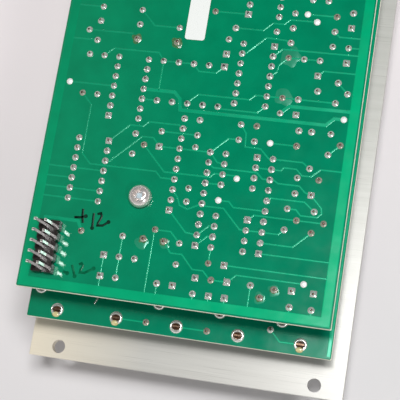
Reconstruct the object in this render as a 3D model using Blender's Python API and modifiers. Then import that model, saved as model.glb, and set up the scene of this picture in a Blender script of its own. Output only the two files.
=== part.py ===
"""A synthesiser module for a 3U rack: a front panel with two circuit boards stacked behind it.

The module lies face down on its knobs. Metres, +Z up, out of the module's back. X runs to the
right and Y towards the module's top edge, both as seen from behind. The middle of the panel is
over the origin, and the knobs' flat tops are at Z = 0. Heights in the functions are measured
from the panel's front face, which the empty named module carries.
"""

import math

import bmesh
import bpy
from mathutils import Matrix

# Fits
GRID = 0.00254  # pitch of the contacts, and the grid that both boards are laid out on
SEAT_GAP = 0.0003  # between two pieces that touch
HOLE_GAP = 0.0003  # all round a pin, a lug or a bushing in its hole
OVERRUN = 0.001  # how far a cut runs past the face that it opens
WELD = 0.00001  # merging distance of the turned profiles

# Front panel, 16 units of rack width
PANEL_WIDTH = 0.0809
PANEL_HEIGHT = 0.1285
PANEL_THICKNESS = 0.002
RAIL_HOLE_DIAMETER = 0.0034
RAIL_HOLE_FROM_SIDE = 0.0075
RAIL_HOLE_FROM_END = 0.003
RAIL_HOLE_SPAN = 0.06604

# Circuit boards
BOARD_THICKNESS = 0.0016
BOARD_WIDTH = 0.0762
BOARD_SIDE_MARGIN = 0.0015
FRONT_BOARD_HEIGHT = 0.111
FRONT_BOARD_END_MARGIN = 0.00875
REAR_BOARD_HEIGHT = 0.09906
REAR_BOARD_END_MARGIN = 0.01455
PANEL_TO_BOARD = 0.010
BOARD_TO_BOARD = 0.010
LEAD_STAND = 0.001  # how far a soldered lead stands out of its board

# Layout of the controls, counted in grid steps on the front board
JACK_COLUMN_STEPS = (3, 9, 15, 21, 27)
JACK_ROW_STEPS = 3
POT_STEPS = ((4.5, 10), (25.5, 10), (15, 20.5), (4.5, 29), (25.5, 29), (15, 37.5))

# 3.5 mm jack
JACK_SIDE = 0.0102
JACK_CORNER = 0.0008
JACK_BUSHING_DIAMETER = 0.006
JACK_BUSHING_STAND = 0.0042
JACK_BORE_DIAMETER = 0.0036
JACK_BORE_DEPTH = 0.0135
JACK_MOUTH_CHAMFER = 0.0004
JACK_LUG_REACH = 0.00508
JACK_LUG_THICKNESS = 0.0004
JACK_LUG_WIDTH = 0.002
JACK_LUG_RUN = 0.0055  # how far a lug's strap runs along the wall of the housing
JACK_WINDOW_WIDTH = 0.003
JACK_WINDOW_HEIGHT = 0.0045
JACK_WINDOW_DEPTH = 0.0007
JACK_NUT_WIDTH = 0.008
JACK_NUT_THICKNESS = 0.002
NUT_CHAMFER = 0.0004

# Potentiometer
POT_WIDTH = 0.0097
POT_DEPTH = 0.01135
POT_HEIGHT = 0.0068
POT_CORNER = 0.0012
POT_COVER_INSET = 0.0005
POT_COVER_HEIGHT = 0.0012
POT_BUSHING_DIAMETER = 0.007
POT_BUSHING_STAND = 0.004
POT_TERMINAL_REACH = 0.0075
POT_TERMINAL_PITCH = 0.0025
POT_TERMINAL_WIDTH = 0.0009
POT_TERMINAL_THICKNESS = 0.0005
POT_TERMINAL_DROP = 0.0022  # from the board down to the terminal's bend
POT_BRACKET_WIDTH = 0.002
POT_BRACKET_THICKNESS = 0.0006
POT_BRACKET_RUN = 0.0045
POT_NUT_WIDTH = 0.010
POT_NUT_THICKNESS = 0.002
SHAFT_DIAMETER = 0.006
SHAFT_FLAT_DEPTH = 0.0015
SHAFT_NECK_DIAMETER = 0.0046
SHAFT_NECK_DEPTH = 0.0085  # from the bushing's mouth into the housing
SHAFT_GRIP = 0.008  # length of the thick part, which the knob holds
SHAFT_CHAMFER = 0.0004

# Knob
KNOB_FLOAT = 0.0008  # between the panel and the knob's skirt
KNOB_HEIGHT = 0.015
KNOB_SKIRT_DIAMETER = 0.0195
KNOB_SKIRT_HEIGHT = 0.0022
KNOB_GRIP_DIAMETER = 0.0165
KNOB_TOP_DIAMETER = 0.0145
KNOB_EDGE = 0.0008
KNOB_RECESS_DIAMETER = 0.0135
KNOB_RECESS_DEPTH = 0.0042
KNOB_FLUTES = 10
KNOB_FLUTE_DIAMETER = 0.0045
KNOB_FLUTE_DEPTH = 0.0008
KNOB_LINE_WIDTH = 0.0009
KNOB_LINE_DEPTH = 0.0003

# Pin strips and sockets
PIN_SIDE = 0.00064
PIN_TIP = 0.00018
STRIP_BASE_HEIGHT = 0.0025
STRIP_NOTCH = 0.0004
STRIP_PINS = 10
STRIP_COLUMN_STEPS = (16.5, 22.5)  # counted on the rear board
STRIP_ROW_STEPS = 6
PIN_ENTRY = 0.0045  # how far a pin reaches into its socket
POWER_PIN_REACH = 0.0094  # from the rear board to the tips
POWER_COLUMNS = 2
POWER_ROWS = 5
POWER_CORNER_STEPS = (2, 2)

# Pillar and screws
PILLAR_STEPS = (10.6, 9.9)  # counted on the rear board
PILLAR_WIDTH = 0.0055
SCREW_DIAMETER = 0.003
SCREW_HEAD_DIAMETER = 0.0056
SCREW_HEAD_HEIGHT = 0.0024
SCREW_ENTRY = 0.0035  # how far a screw reaches into the pillar
SCREW_CROSS_WIDTH = 0.0007
SCREW_CROSS_LENGTH = 0.0029
SCREW_CROSS_DEPTH = 0.0013

# Integrated circuits, on the hidden side of the rear board
LONG_CHIP_LENGTH = 0.01905
LONG_CHIP_LEGS_A_SIDE = 7
SHORT_CHIP_LENGTH = 0.0096
SHORT_CHIP_LEGS_A_SIDE = 4
CHIP_WIDTH = 0.00635
CHIP_HEIGHT = 0.0033
CHIP_STAND = 0.0006
CHIP_DRAFT = 0.0004
CHIP_NOTCH_DIAMETER = 0.0018
CHIP_NOTCH_DEPTH = 0.0004
CHIP_LEG_SPAN = 0.00762
CHIP_LEG_WIDTH = 0.0007
CHIP_LEG_ROOT = 0.0009  # how deep a leg is held in the moulding
CHIP_LEG_THICKNESS = 0.0003
CHIP_LEG_HEIGHT = 0.0019  # from the board down to the leg's shoulder
# Middle of each circuit in grid steps on the rear board, and which end its notch is at
LONG_CHIP_PLACES = ((5, 12, "top"), (7.5, 20.5, "bottom"), (19.5, 23, "top"), (19.5, 32, "bottom"))
SHORT_CHIP_PLACES = ((19.5, 7.5, "top"), (19.5, 13.5, "top"))

# Electrolytic capacitor
CAPACITOR_STEPS = (8.75, 4)
CAPACITOR_DIAMETER = 0.005
CAPACITOR_HEIGHT = 0.007
CAPACITOR_GROOVE = 0.0003
CAPACITOR_GROOVE_FROM_END = 0.0012
CAPACITOR_LEAD_PITCH = 0.00381
CAPACITOR_LEAD_DIAMETER = 0.0006

# Resistors, which lie side by side under the rear board
RESISTOR_COLUMN_STEPS = (10.5, 12, 13.5, 15, 16.5)
RESISTOR_ROW_STEPS = (19.5, 23.5)  # of the two leads
RESISTOR_LENGTH = 0.0063
RESISTOR_DIAMETER = 0.0023
RESISTOR_LEAD_WIDTH = 0.0006

# Film capacitors, which stand under the rear board near its lower edge
FILM_COLUMN_STEPS = (17, 18.5, 20)
FILM_ROW_STEPS = (1.5, 3)  # of the two leads
FILM_LENGTH = 0.0062
FILM_THICKNESS = 0.0025
FILM_HEIGHT = 0.006
FILM_CORNER = 0.0004
FILM_LEAD_WIDTH = 0.0005

# Facets of round pieces
ROUND_SIDES = 18
SMALL_ROUND_SIDES = 12
LEAD_SIDES = 8
FLUTE_SIDES = 6
SMOOTH_ANGLE = math.radians(35)

# Places worked out from the sizes above
BOARD_LEFT = -PANEL_WIDTH / 2 + BOARD_SIDE_MARGIN
FRONT_BOARD_BOTTOM = -PANEL_HEIGHT / 2 + FRONT_BOARD_END_MARGIN
REAR_BOARD_BOTTOM = -PANEL_HEIGHT / 2 + REAR_BOARD_END_MARGIN
FRONT_BOARD_SEAT = PANEL_THICKNESS + PANEL_TO_BOARD
FRONT_BOARD_FACE = FRONT_BOARD_SEAT + BOARD_THICKNESS
REAR_BOARD_SEAT = FRONT_BOARD_FACE + BOARD_TO_BOARD
REAR_BOARD_FACE = REAR_BOARD_SEAT + BOARD_THICKNESS
BUSHING_END = -POT_BUSHING_STAND
SHAFT_SHOULDER = BUSHING_END - SEAT_GAP
SHAFT_END = SHAFT_SHOULDER - SHAFT_GRIP
KNOB_END = -KNOB_FLOAT - KNOB_HEIGHT
KNOB_RECESS_END = -KNOB_FLOAT - KNOB_RECESS_DEPTH
CHIP_TOP = REAR_BOARD_SEAT - CHIP_STAND


def clear_scene():
    """Remove whatever the scene holds."""
    for old in list(bpy.data.objects):
        bpy.data.objects.remove(old, do_unlink=True)


def new_collection(name, hidden=False):
    """Make a collection in the scene. A hidden one is left out of renders."""
    collection = bpy.data.collections.new(name)
    bpy.context.scene.collection.children.link(collection)
    collection.hide_render = hidden
    return collection


def new_material(name, colour, roughness, metallic):
    """Make a Principled material of one colour."""
    material = bpy.data.materials.new(name)
    material.use_nodes = True
    shader = material.node_tree.nodes["Principled BSDF"]
    shader.inputs["Base Color"].default_value = (*colour, 1)
    shader.inputs["Roughness"].default_value = roughness
    shader.inputs["Metallic"].default_value = metallic
    return material


def front_spot(column, row):
    """The place of a grid crossing on the front board."""
    return BOARD_LEFT + column * GRID, FRONT_BOARD_BOTTOM + row * GRID


def rear_spot(column, row):
    """The place of a grid crossing on the rear board."""
    return BOARD_LEFT + column * GRID, REAR_BOARD_BOTTOM + row * GRID


def around(middle, width):
    """The two limits of a width that lies evenly about its middle."""
    return middle - width / 2, middle + width / 2


def cleared(width):
    """The width of the hole that a piece of this width goes through with its gap."""
    return width + 2 * HOLE_GAP


def add_block(shape, x_limits, y_limits, z_limits):
    """Add a block between these limits and give its corners."""
    corners = bmesh.ops.create_cube(shape, size=1)["verts"]
    for corner in corners:
        for axis, (low, high) in enumerate((x_limits, y_limits, z_limits)):
            corner.co[axis] = high if corner.co[axis] > 0 else low
    return corners


def add_round(shape, diameter, z_limits, spot=(0, 0), sides=ROUND_SIDES, upper_diameter=None):
    """Add an upright cylinder, or a cone where the upper diameter differs, and give its corners."""
    low, high = z_limits
    upper = diameter if upper_diameter is None else upper_diameter
    made = bmesh.ops.create_cone(
        shape, cap_ends=True, segments=sides, radius1=diameter / 2, radius2=upper / 2, depth=high - low
    )
    bmesh.ops.translate(shape, verts=made["verts"], vec=(*spot, (low + high) / 2))
    return made["verts"]


def edges_between(corners, wanted):
    """The edges whose both ends are among these corners and that pass the test."""
    found = {edge for corner in corners for edge in corner.link_edges}
    inside = [edge for edge in found if all(end in set(corners) for end in edge.verts)]
    return sorted((edge for edge in inside if wanted(edge)), key=lambda edge: edge.index)


def upright(edge):
    """Whether an edge runs along Z."""
    first, second = (corner.co for corner in edge.verts)
    return abs(first.z - second.z) > abs(first.x - second.x) + abs(first.y - second.y)


def chamfer(shape, edges, width):
    """Cut one flat of this width along the edges."""
    shape.edges.index_update()
    bmesh.ops.bevel(shape, geom=edges, offset=width, segments=1, affect="EDGES", clamp_overlap=True)


def level_edges(corners, height):
    """The edges that lie level at this height, for a chamfer round a face."""
    return edges_between(corners, lambda edge: all(abs(end.co.z - height) < WELD for end in edge.verts))


def finished(shape, name):
    """Turn a working shape into a mesh."""
    bmesh.ops.recalc_face_normals(shape, faces=shape.faces)
    mesh = bpy.data.meshes.new(name)
    shape.to_mesh(mesh)
    shape.free()
    return mesh


def place(name, mesh, material, spot=(0, 0), parent=None, turn=0):
    """Put a mesh into the module as a named piece."""
    piece = bpy.data.objects.new(name, mesh)
    if not mesh.materials:
        mesh.materials.append(material)
    piece.location = (*spot, 0)
    piece.rotation_euler = (0, 0, turn)
    piece.parent = parent or MODULE
    PARTS.objects.link(piece)
    return piece


def with_tool(piece, shape, operation):
    """Join a shape to a piece, or cut it out, with a Boolean whose tool rides on the piece."""
    tool = bpy.data.objects.new(f"{piece.name}_{operation.lower()}", finished(shape, "tool"))
    tool.parent = piece
    tool.hide_render = True
    tool.display_type = "WIRE"
    TOOLS.objects.link(tool)
    modifier = piece.modifiers.new(operation.title(), "BOOLEAN")
    modifier.operation = operation
    modifier.object = tool


def turned(piece, sides):
    """Turn the profile that a piece holds about the Z axis."""
    modifier = piece.modifiers.new("Turning", "SCREW")
    modifier.axis = "Z"
    modifier.steps = sides
    modifier.render_steps = sides
    modifier.use_merge_vertices = True
    modifier.merge_threshold = WELD
    modifier.use_smooth_shade = False


def profile_mesh(name, points):
    """A profile of radius and height pairs, as a mesh of edges in the XZ plane."""
    mesh = bpy.data.meshes.new(name)
    edges = [(index, index + 1) for index in range(len(points) - 1)]
    mesh.from_pydata([(radius, 0, height) for radius, height in points], edges, [])
    return mesh


def settle(piece):
    """Work out a piece's modifiers and drop their tools, so that copies can share its mesh."""
    bpy.context.view_layer.update()
    graph = bpy.context.evaluated_depsgraph_get()
    mesh = bpy.data.meshes.new_from_object(piece.evaluated_get(graph))
    tools = [modifier.object for modifier in piece.modifiers if modifier.type == "BOOLEAN"]
    piece.modifiers.clear()
    piece.data = mesh
    for tool in tools:
        bpy.data.objects.remove(tool)
    mesh.shade_smooth()
    mesh.set_sharp_from_angle(angle=SMOOTH_ANGLE)
    return mesh


def jack_places():
    """The middle of every jack, in a row along the module's lower edge."""
    return [front_spot(column, JACK_ROW_STEPS) for column in JACK_COLUMN_STEPS]


def pot_places():
    """The axis of every potentiometer, from the lowest up."""
    return [front_spot(column, row) for column, row in POT_STEPS]


def jack_lugs():
    """The middle of each lug from the jack's axis, with its widths along X and Y."""
    across = JACK_LUG_WIDTH, JACK_LUG_THICKNESS
    along = JACK_LUG_THICKNESS, JACK_LUG_WIDTH
    return ((0, -JACK_LUG_REACH, across), (-JACK_LUG_REACH, 0, along), (0, JACK_LUG_REACH, across))


def pot_terminals():
    """The middle of each terminal of a potentiometer from its axis."""
    return [(step * POT_TERMINAL_PITCH, POT_TERMINAL_REACH) for step in (-1, 0, 1)]


def pot_brackets():
    """The middle of each side bracket of a potentiometer from its axis."""
    return [(side * POT_WIDTH / 2, 0) for side in (-1, 1)]


def strip_places():
    """The middle of the first pin of each strip, at the lower end."""
    return [rear_spot(column, STRIP_ROW_STEPS) for column in STRIP_COLUMN_STEPS]


def power_pins():
    """The middle of every pin of the power header."""
    left, bottom = rear_spot(*POWER_CORNER_STEPS)
    return [
        (left + column * GRID, bottom + row * GRID)
        for column in range(POWER_COLUMNS)
        for row in range(POWER_ROWS)
    ]


def leg_rows(legs_a_side):
    """The place of each leg along one side of a circuit, from the circuit's middle."""
    return [(index - (legs_a_side - 1) / 2) * GRID for index in range(legs_a_side)]


def chip_legs():
    """The middle of every leg of every circuit."""
    kinds = ((LONG_CHIP_PLACES, LONG_CHIP_LEGS_A_SIDE), (SHORT_CHIP_PLACES, SHORT_CHIP_LEGS_A_SIDE))
    for places, legs_a_side in kinds:
        for column, row, _ in places:
            x, y = rear_spot(column, row)
            for leg_y in leg_rows(legs_a_side):
                for side in (-1, 1):
                    yield x + side * CHIP_LEG_SPAN / 2, y + leg_y


def between(columns, rows):
    """The middle of each of the pieces that reach between two rows, one piece to a column."""
    return [rear_spot(column, sum(rows) / 2) for column in columns]


def lead_rows(rows):
    """The place along Y of each lead of such a piece, from its middle."""
    return around(0, (rows[1] - rows[0]) * GRID)


def make_panel():
    """The front panel, with the rack's four holes and one for each control."""
    shape = bmesh.new()
    add_block(shape, around(0, PANEL_WIDTH), around(0, PANEL_HEIGHT), (0, PANEL_THICKNESS))
    panel = place("front_panel", finished(shape, "front_panel"), ALUMINIUM)
    through = (-OVERRUN, PANEL_THICKNESS + OVERRUN)
    holes = bmesh.new()
    left = -PANEL_WIDTH / 2 + RAIL_HOLE_FROM_SIDE
    top = PANEL_HEIGHT / 2 - RAIL_HOLE_FROM_END
    for x in (left, left + RAIL_HOLE_SPAN):
        for y in (-top, top):
            add_round(holes, RAIL_HOLE_DIAMETER, through, (x, y))
    for spot in jack_places():
        add_round(holes, cleared(JACK_BUSHING_DIAMETER), through, spot, SMALL_ROUND_SIDES)
    for spot in pot_places():
        add_round(holes, cleared(POT_BUSHING_DIAMETER), through, spot, SMALL_ROUND_SIDES)
    with_tool(panel, holes, "DIFFERENCE")


def add_slot(shape, x, y, width, height, z_limits):
    """Add the cutter of a slot that clears a lead of this width and height."""
    add_block(shape, around(x, cleared(width)), around(y, cleared(height)), z_limits)


def make_front_board():
    """The board that carries the controls, with a slot for each lead and a hole for the screw."""
    x_limits = (BOARD_LEFT, BOARD_LEFT + BOARD_WIDTH)
    y_limits = (FRONT_BOARD_BOTTOM, FRONT_BOARD_BOTTOM + FRONT_BOARD_HEIGHT)
    shape = bmesh.new()
    add_block(shape, x_limits, y_limits, (FRONT_BOARD_SEAT, FRONT_BOARD_FACE))
    board = place("front_circuit_board", finished(shape, "front_circuit_board"), BOARD_GREEN)
    through = (FRONT_BOARD_SEAT - OVERRUN, FRONT_BOARD_FACE + OVERRUN)
    slots = bmesh.new()
    for x, y in jack_places():
        for lug_x, lug_y, (width, height) in jack_lugs():
            add_slot(slots, x + lug_x, y + lug_y, width, height, through)
    for x, y in pot_places():
        for pin_x, pin_y in pot_terminals():
            add_slot(slots, x + pin_x, y + pin_y, POT_TERMINAL_WIDTH, POT_TERMINAL_THICKNESS, through)
        for pin_x, pin_y in pot_brackets():
            add_slot(slots, x + pin_x, y + pin_y, POT_BRACKET_THICKNESS, POT_BRACKET_WIDTH, through)
    for x, y in strip_places():
        for index in range(STRIP_PINS):
            add_slot(slots, x, y + index * GRID, PIN_SIDE, PIN_SIDE, through)
    add_round(slots, cleared(SCREW_DIAMETER), through, rear_spot(*PILLAR_STEPS), SMALL_ROUND_SIDES)
    with_tool(board, slots, "DIFFERENCE")


def make_rear_board():
    """The board with the circuits, whose solder side is the module's back."""
    x_limits = (BOARD_LEFT, BOARD_LEFT + BOARD_WIDTH)
    y_limits = (REAR_BOARD_BOTTOM, REAR_BOARD_BOTTOM + REAR_BOARD_HEIGHT)
    shape = bmesh.new()
    add_block(shape, x_limits, y_limits, (REAR_BOARD_SEAT, REAR_BOARD_FACE))
    board = place("rear_circuit_board", finished(shape, "rear_circuit_board"), BOARD_GREEN)
    through = (REAR_BOARD_SEAT - OVERRUN, REAR_BOARD_FACE + OVERRUN)
    slots = bmesh.new()
    for x, y in power_pins():
        add_slot(slots, x, y, PIN_SIDE, PIN_SIDE, through)
    for x, y in strip_places():
        for index in range(STRIP_PINS):
            add_slot(slots, x, y + index * GRID, PIN_SIDE, PIN_SIDE, through)
    for x, y in chip_legs():
        add_slot(slots, x, y, CHIP_LEG_THICKNESS, CHIP_LEG_WIDTH, through)
    x, y = rear_spot(*CAPACITOR_STEPS)
    for side in (-1, 1):
        lead_x = side * CAPACITOR_LEAD_PITCH / 2
        add_slot(slots, x + lead_x, y, CAPACITOR_LEAD_DIAMETER, CAPACITOR_LEAD_DIAMETER, through)
    for columns, rows, width in (
        (RESISTOR_COLUMN_STEPS, RESISTOR_ROW_STEPS, RESISTOR_LEAD_WIDTH),
        (FILM_COLUMN_STEPS, FILM_ROW_STEPS, FILM_LEAD_WIDTH),
    ):
        for x, y in between(columns, rows):
            for lead_y in lead_rows(rows):
                add_slot(slots, x, y + lead_y, width, width, through)
    add_round(slots, cleared(SCREW_DIAMETER), through, rear_spot(*PILLAR_STEPS), SMALL_ROUND_SIDES)
    with_tool(board, slots, "DIFFERENCE")


def make_jack(name, spot):
    """A jack: housing with its contact window, threaded bushing, blind bore and three lugs."""
    low, high = PANEL_THICKNESS + SEAT_GAP, FRONT_BOARD_SEAT - SEAT_GAP
    shape = bmesh.new()
    corners = add_block(shape, around(0, JACK_SIDE), around(0, JACK_SIDE), (low, high))
    chamfer(shape, edges_between(corners, upright), JACK_CORNER)
    jack = place(name, finished(shape, "jack"), BLACK_PLASTIC, spot)

    added = bmesh.new()
    add_round(added, JACK_BUSHING_DIAMETER, (-JACK_BUSHING_STAND, low + OVERRUN), sides=SMALL_ROUND_SIDES)
    for x, y, (width, height) in jack_lugs():
        run = (high - JACK_LUG_RUN, FRONT_BOARD_FACE + LEAD_STAND)
        add_block(added, around(x, width), around(y, height), run)
    with_tool(jack, added, "UNION")

    cuts = bmesh.new()
    mouth = -JACK_BUSHING_STAND
    add_round(cuts, JACK_BORE_DIAMETER, (mouth - OVERRUN, mouth + JACK_BORE_DEPTH), sides=SMALL_ROUND_SIDES)
    window = (JACK_SIDE / 2 - JACK_WINDOW_DEPTH, JACK_SIDE / 2 + OVERRUN)
    middle = (low + high) / 2
    add_block(cuts, window, around(0, JACK_WINDOW_WIDTH), around(middle, JACK_WINDOW_HEIGHT))
    with_tool(jack, cuts, "DIFFERENCE")
    rim = bmesh.new()
    limits = (mouth - OVERRUN, mouth + JACK_MOUTH_CHAMFER)
    wide = JACK_BORE_DIAMETER + 2 * (OVERRUN + JACK_MOUTH_CHAMFER)
    add_round(rim, wide, limits, sides=SMALL_ROUND_SIDES, upper_diameter=JACK_BORE_DIAMETER)
    with_tool(jack, rim, "DIFFERENCE")
    return jack


def make_nut(name, spot, width, bore, thickness):
    """A hexagonal nut on the panel's front, chamfered on its free side."""
    free, seated = -SEAT_GAP - thickness, -SEAT_GAP
    across_corners = width / math.cos(math.pi / 6)
    shape = bmesh.new()
    corners = add_round(shape, across_corners, (free, seated), sides=6)
    chamfer(shape, level_edges(corners, free), NUT_CHAMFER)
    nut = place(name, finished(shape, "nut"), NICKEL, spot)
    cuts = bmesh.new()
    add_round(cuts, cleared(bore), (free - OVERRUN, seated + OVERRUN), sides=SMALL_ROUND_SIDES)
    with_tool(nut, cuts, "DIFFERENCE")
    return nut


def make_pot_body(name, spot):
    """A potentiometer: housing with a stepped cover, bushing with its bore, terminals, brackets."""
    high = FRONT_BOARD_SEAT - SEAT_GAP
    low = high - POT_HEIGHT
    shape = bmesh.new()
    corners = add_block(shape, around(0, POT_WIDTH), around(0, POT_DEPTH), (low + POT_COVER_HEIGHT, high))
    chamfer(shape, edges_between(corners, upright), POT_CORNER)
    body = place(name, finished(shape, "pot_body"), POT_METAL, spot)

    inset = 2 * POT_COVER_INSET
    cover = bmesh.new()
    limits = (low, low + POT_COVER_HEIGHT + OVERRUN)
    corners = add_block(cover, around(0, POT_WIDTH - inset), around(0, POT_DEPTH - inset), limits)
    chamfer(cover, edges_between(corners, upright), POT_CORNER)
    with_tool(body, cover, "UNION")

    added = bmesh.new()
    limits = (BUSHING_END, low + POT_COVER_HEIGHT)
    add_round(added, POT_BUSHING_DIAMETER, limits, sides=SMALL_ROUND_SIDES)
    bend = high - POT_TERMINAL_DROP
    for x, y in pot_terminals():
        reach = (POT_DEPTH / 2 - OVERRUN, y + POT_TERMINAL_THICKNESS / 2)
        flat = (bend, bend + POT_TERMINAL_THICKNESS)
        add_block(added, around(x, POT_TERMINAL_WIDTH), reach, flat)
    for x, y in pot_brackets():
        run = (high - POT_BRACKET_RUN, FRONT_BOARD_FACE + LEAD_STAND)
        add_block(added, around(x, POT_BRACKET_THICKNESS), around(y, POT_BRACKET_WIDTH), run)
    with_tool(body, added, "UNION")

    legs = bmesh.new()
    for x, y in pot_terminals():
        limits = (bend, FRONT_BOARD_FACE + LEAD_STAND)
        add_block(legs, around(x, POT_TERMINAL_WIDTH), around(y, POT_TERMINAL_THICKNESS), limits)
    with_tool(body, legs, "UNION")

    cuts = bmesh.new()
    depth = BUSHING_END + SHAFT_NECK_DEPTH + SEAT_GAP
    add_round(cuts, cleared(SHAFT_NECK_DIAMETER), (BUSHING_END - OVERRUN, depth), sides=SMALL_ROUND_SIDES)
    with_tool(body, cuts, "DIFFERENCE")
    return body


def shaft_profile():
    """Radius and height pairs of the shaft, from the neck in the housing down to its free end."""
    neck, grip = SHAFT_NECK_DIAMETER / 2, SHAFT_DIAMETER / 2
    top = BUSHING_END + SHAFT_NECK_DEPTH
    return (
        (0, top),
        (neck, top),
        (neck, SHAFT_SHOULDER),
        (grip, SHAFT_SHOULDER),
        (grip, SHAFT_END + SHAFT_CHAMFER),
        (grip - SHAFT_CHAMFER, SHAFT_END),
        (0, SHAFT_END),
    )


def make_shaft(name, parent):
    """The shaft: a flatted end for the knob and a thinner neck that turns in the bushing."""
    shaft = place(name, profile_mesh("shaft", shaft_profile()), NICKEL, parent=parent)
    turned(shaft, SMALL_ROUND_SIDES)
    flat = bmesh.new()
    depth = (SHAFT_DIAMETER / 2 - SHAFT_FLAT_DEPTH, SHAFT_DIAMETER / 2 + OVERRUN)
    length = (SHAFT_END - OVERRUN, KNOB_RECESS_END + SEAT_GAP)
    add_block(flat, around(0, SHAFT_DIAMETER + 2 * OVERRUN), depth, length)
    with_tool(shaft, flat, "DIFFERENCE")
    return shaft


def knob_profile():
    """Radius and height pairs from the hollow underside, over the skirt and grip, to the top."""
    rim = -KNOB_FLOAT
    skirt = rim - KNOB_SKIRT_HEIGHT
    step = KNOB_EDGE / 2
    return (
        (0, KNOB_RECESS_END),
        (KNOB_RECESS_DIAMETER / 2, KNOB_RECESS_END),
        (KNOB_RECESS_DIAMETER / 2, rim),
        (KNOB_SKIRT_DIAMETER / 2, rim),
        (KNOB_SKIRT_DIAMETER / 2, skirt + KNOB_EDGE),
        (KNOB_SKIRT_DIAMETER / 2 - KNOB_EDGE, skirt),
        (KNOB_GRIP_DIAMETER / 2, skirt - step),
        (KNOB_TOP_DIAMETER / 2, KNOB_END + KNOB_EDGE),
        (KNOB_TOP_DIAMETER / 2 - KNOB_EDGE, KNOB_END),
        (0, KNOB_END),
    )


def make_knob(name, parent):
    """A fluted knob, hollow over the nut, with a flatted bore and a groove for its line."""
    knob = place(name, profile_mesh("knob", knob_profile()), KNOB_BLACK, parent=parent)
    turned(knob, 2 * KNOB_FLUTES)

    flutes = bmesh.new()
    middle = KNOB_GRIP_DIAMETER / 2 - KNOB_FLUTE_DEPTH + KNOB_FLUTE_DIAMETER / 2
    limits = (KNOB_END - OVERRUN, -KNOB_FLOAT - KNOB_SKIRT_HEIGHT - KNOB_EDGE)
    for index in range(KNOB_FLUTES):
        corners = add_round(flutes, KNOB_FLUTE_DIAMETER, limits, (0, middle), FLUTE_SIDES)
        turn = Matrix.Rotation(2 * math.pi * index / KNOB_FLUTES, 3, "Z")
        bmesh.ops.rotate(flutes, verts=corners, cent=(0, 0, 0), matrix=turn)
    with_tool(knob, flutes, "DIFFERENCE")

    bore = bmesh.new()
    limits = (SHAFT_END - SEAT_GAP, KNOB_RECESS_END + OVERRUN)
    for corner in add_round(bore, cleared(SHAFT_DIAMETER), limits, sides=SMALL_ROUND_SIDES):
        corner.co.y = min(corner.co.y, SHAFT_DIAMETER / 2 - SHAFT_FLAT_DEPTH + HOLE_GAP)
    with_tool(knob, bore, "DIFFERENCE")
    line = bmesh.new()
    limits = (KNOB_END - OVERRUN, KNOB_END + KNOB_LINE_DEPTH)
    add_block(line, around(0, KNOB_LINE_WIDTH), (0, KNOB_GRIP_DIAMETER / 2), limits)
    with_tool(knob, line, "DIFFERENCE")
    return knob


def add_notches(shape, x_limits, y_limits, z_limits, columns, rows):
    """Add the cutters of the notches between the positions of a strip, along its sides and ends."""
    low, high = z_limits
    through = (low - OVERRUN, high + OVERRUN)
    spots = [(x, y_limits[0] + row * GRID) for x in x_limits for row in range(1, rows)]
    spots += [(x_limits[0] + column * GRID, y) for y in y_limits for column in range(1, columns)]
    for spot in spots:
        add_round(shape, 2 * STRIP_NOTCH, through, spot, sides=4)


def make_power_header():
    """The power inlet: two rows of square pins in a low base, with no shroud."""
    pins = power_pins()
    low, high = REAR_BOARD_FACE + SEAT_GAP, REAR_BOARD_FACE + STRIP_BASE_HEIGHT
    x_limits = (pins[0][0] - GRID / 2, pins[-1][0] + GRID / 2)
    y_limits = (pins[0][1] - GRID / 2, pins[-1][1] + GRID / 2)
    shape = bmesh.new()
    add_block(shape, x_limits, y_limits, (low, high))
    header = place("power_header", finished(shape, "power_header"), BLACK_PLASTIC)
    notches = bmesh.new()
    add_notches(notches, x_limits, y_limits, (low, high), POWER_COLUMNS, POWER_ROWS)
    with_tool(header, notches, "DIFFERENCE")
    added = bmesh.new()
    top = REAR_BOARD_FACE + POWER_PIN_REACH
    for x, y in pins:
        limits = (REAR_BOARD_SEAT - LEAD_STAND, top)
        corners = add_block(added, around(x, PIN_SIDE), around(y, PIN_SIDE), limits)
        chamfer(added, level_edges(corners, top), PIN_TIP)
    with_tool(header, added, "UNION")


def make_pin_strip(name, spot):
    """A strip of pins under the rear board, which plugs into a socket on the front board."""
    high = REAR_BOARD_SEAT - SEAT_GAP
    low = high - STRIP_BASE_HEIGHT
    y_limits = (-GRID / 2, (STRIP_PINS - 1 / 2) * GRID)
    shape = bmesh.new()
    add_block(shape, around(0, GRID), y_limits, (low, high))
    strip = place(name, finished(shape, "pin_strip"), BLACK_PLASTIC, spot)
    added = bmesh.new()
    for index in range(STRIP_PINS):
        limits = (low - SEAT_GAP - PIN_ENTRY, REAR_BOARD_FACE + LEAD_STAND)
        add_block(added, around(0, PIN_SIDE), around(index * GRID, PIN_SIDE), limits)
    with_tool(strip, added, "UNION")
    return strip


def make_socket(name, spot):
    """The socket that a pin strip plugs into, with its tails through the front board."""
    low = FRONT_BOARD_FACE + SEAT_GAP
    high = REAR_BOARD_SEAT - STRIP_BASE_HEIGHT - 2 * SEAT_GAP
    y_limits = (-GRID / 2, (STRIP_PINS - 1 / 2) * GRID)
    shape = bmesh.new()
    add_block(shape, around(0, GRID), y_limits, (low, high))
    socket = place(name, finished(shape, "socket"), BLACK_PLASTIC, spot)
    cuts = bmesh.new()
    added = bmesh.new()
    for index in range(STRIP_PINS):
        entry = (high - PIN_ENTRY - SEAT_GAP, high + OVERRUN)
        add_slot(cuts, 0, index * GRID, PIN_SIDE, PIN_SIDE, entry)
        tail = (FRONT_BOARD_SEAT - LEAD_STAND, low + OVERRUN)
        add_block(added, around(0, PIN_SIDE), around(index * GRID, PIN_SIDE), tail)
    with_tool(socket, cuts, "DIFFERENCE")
    with_tool(socket, added, "UNION")
    return socket


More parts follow.
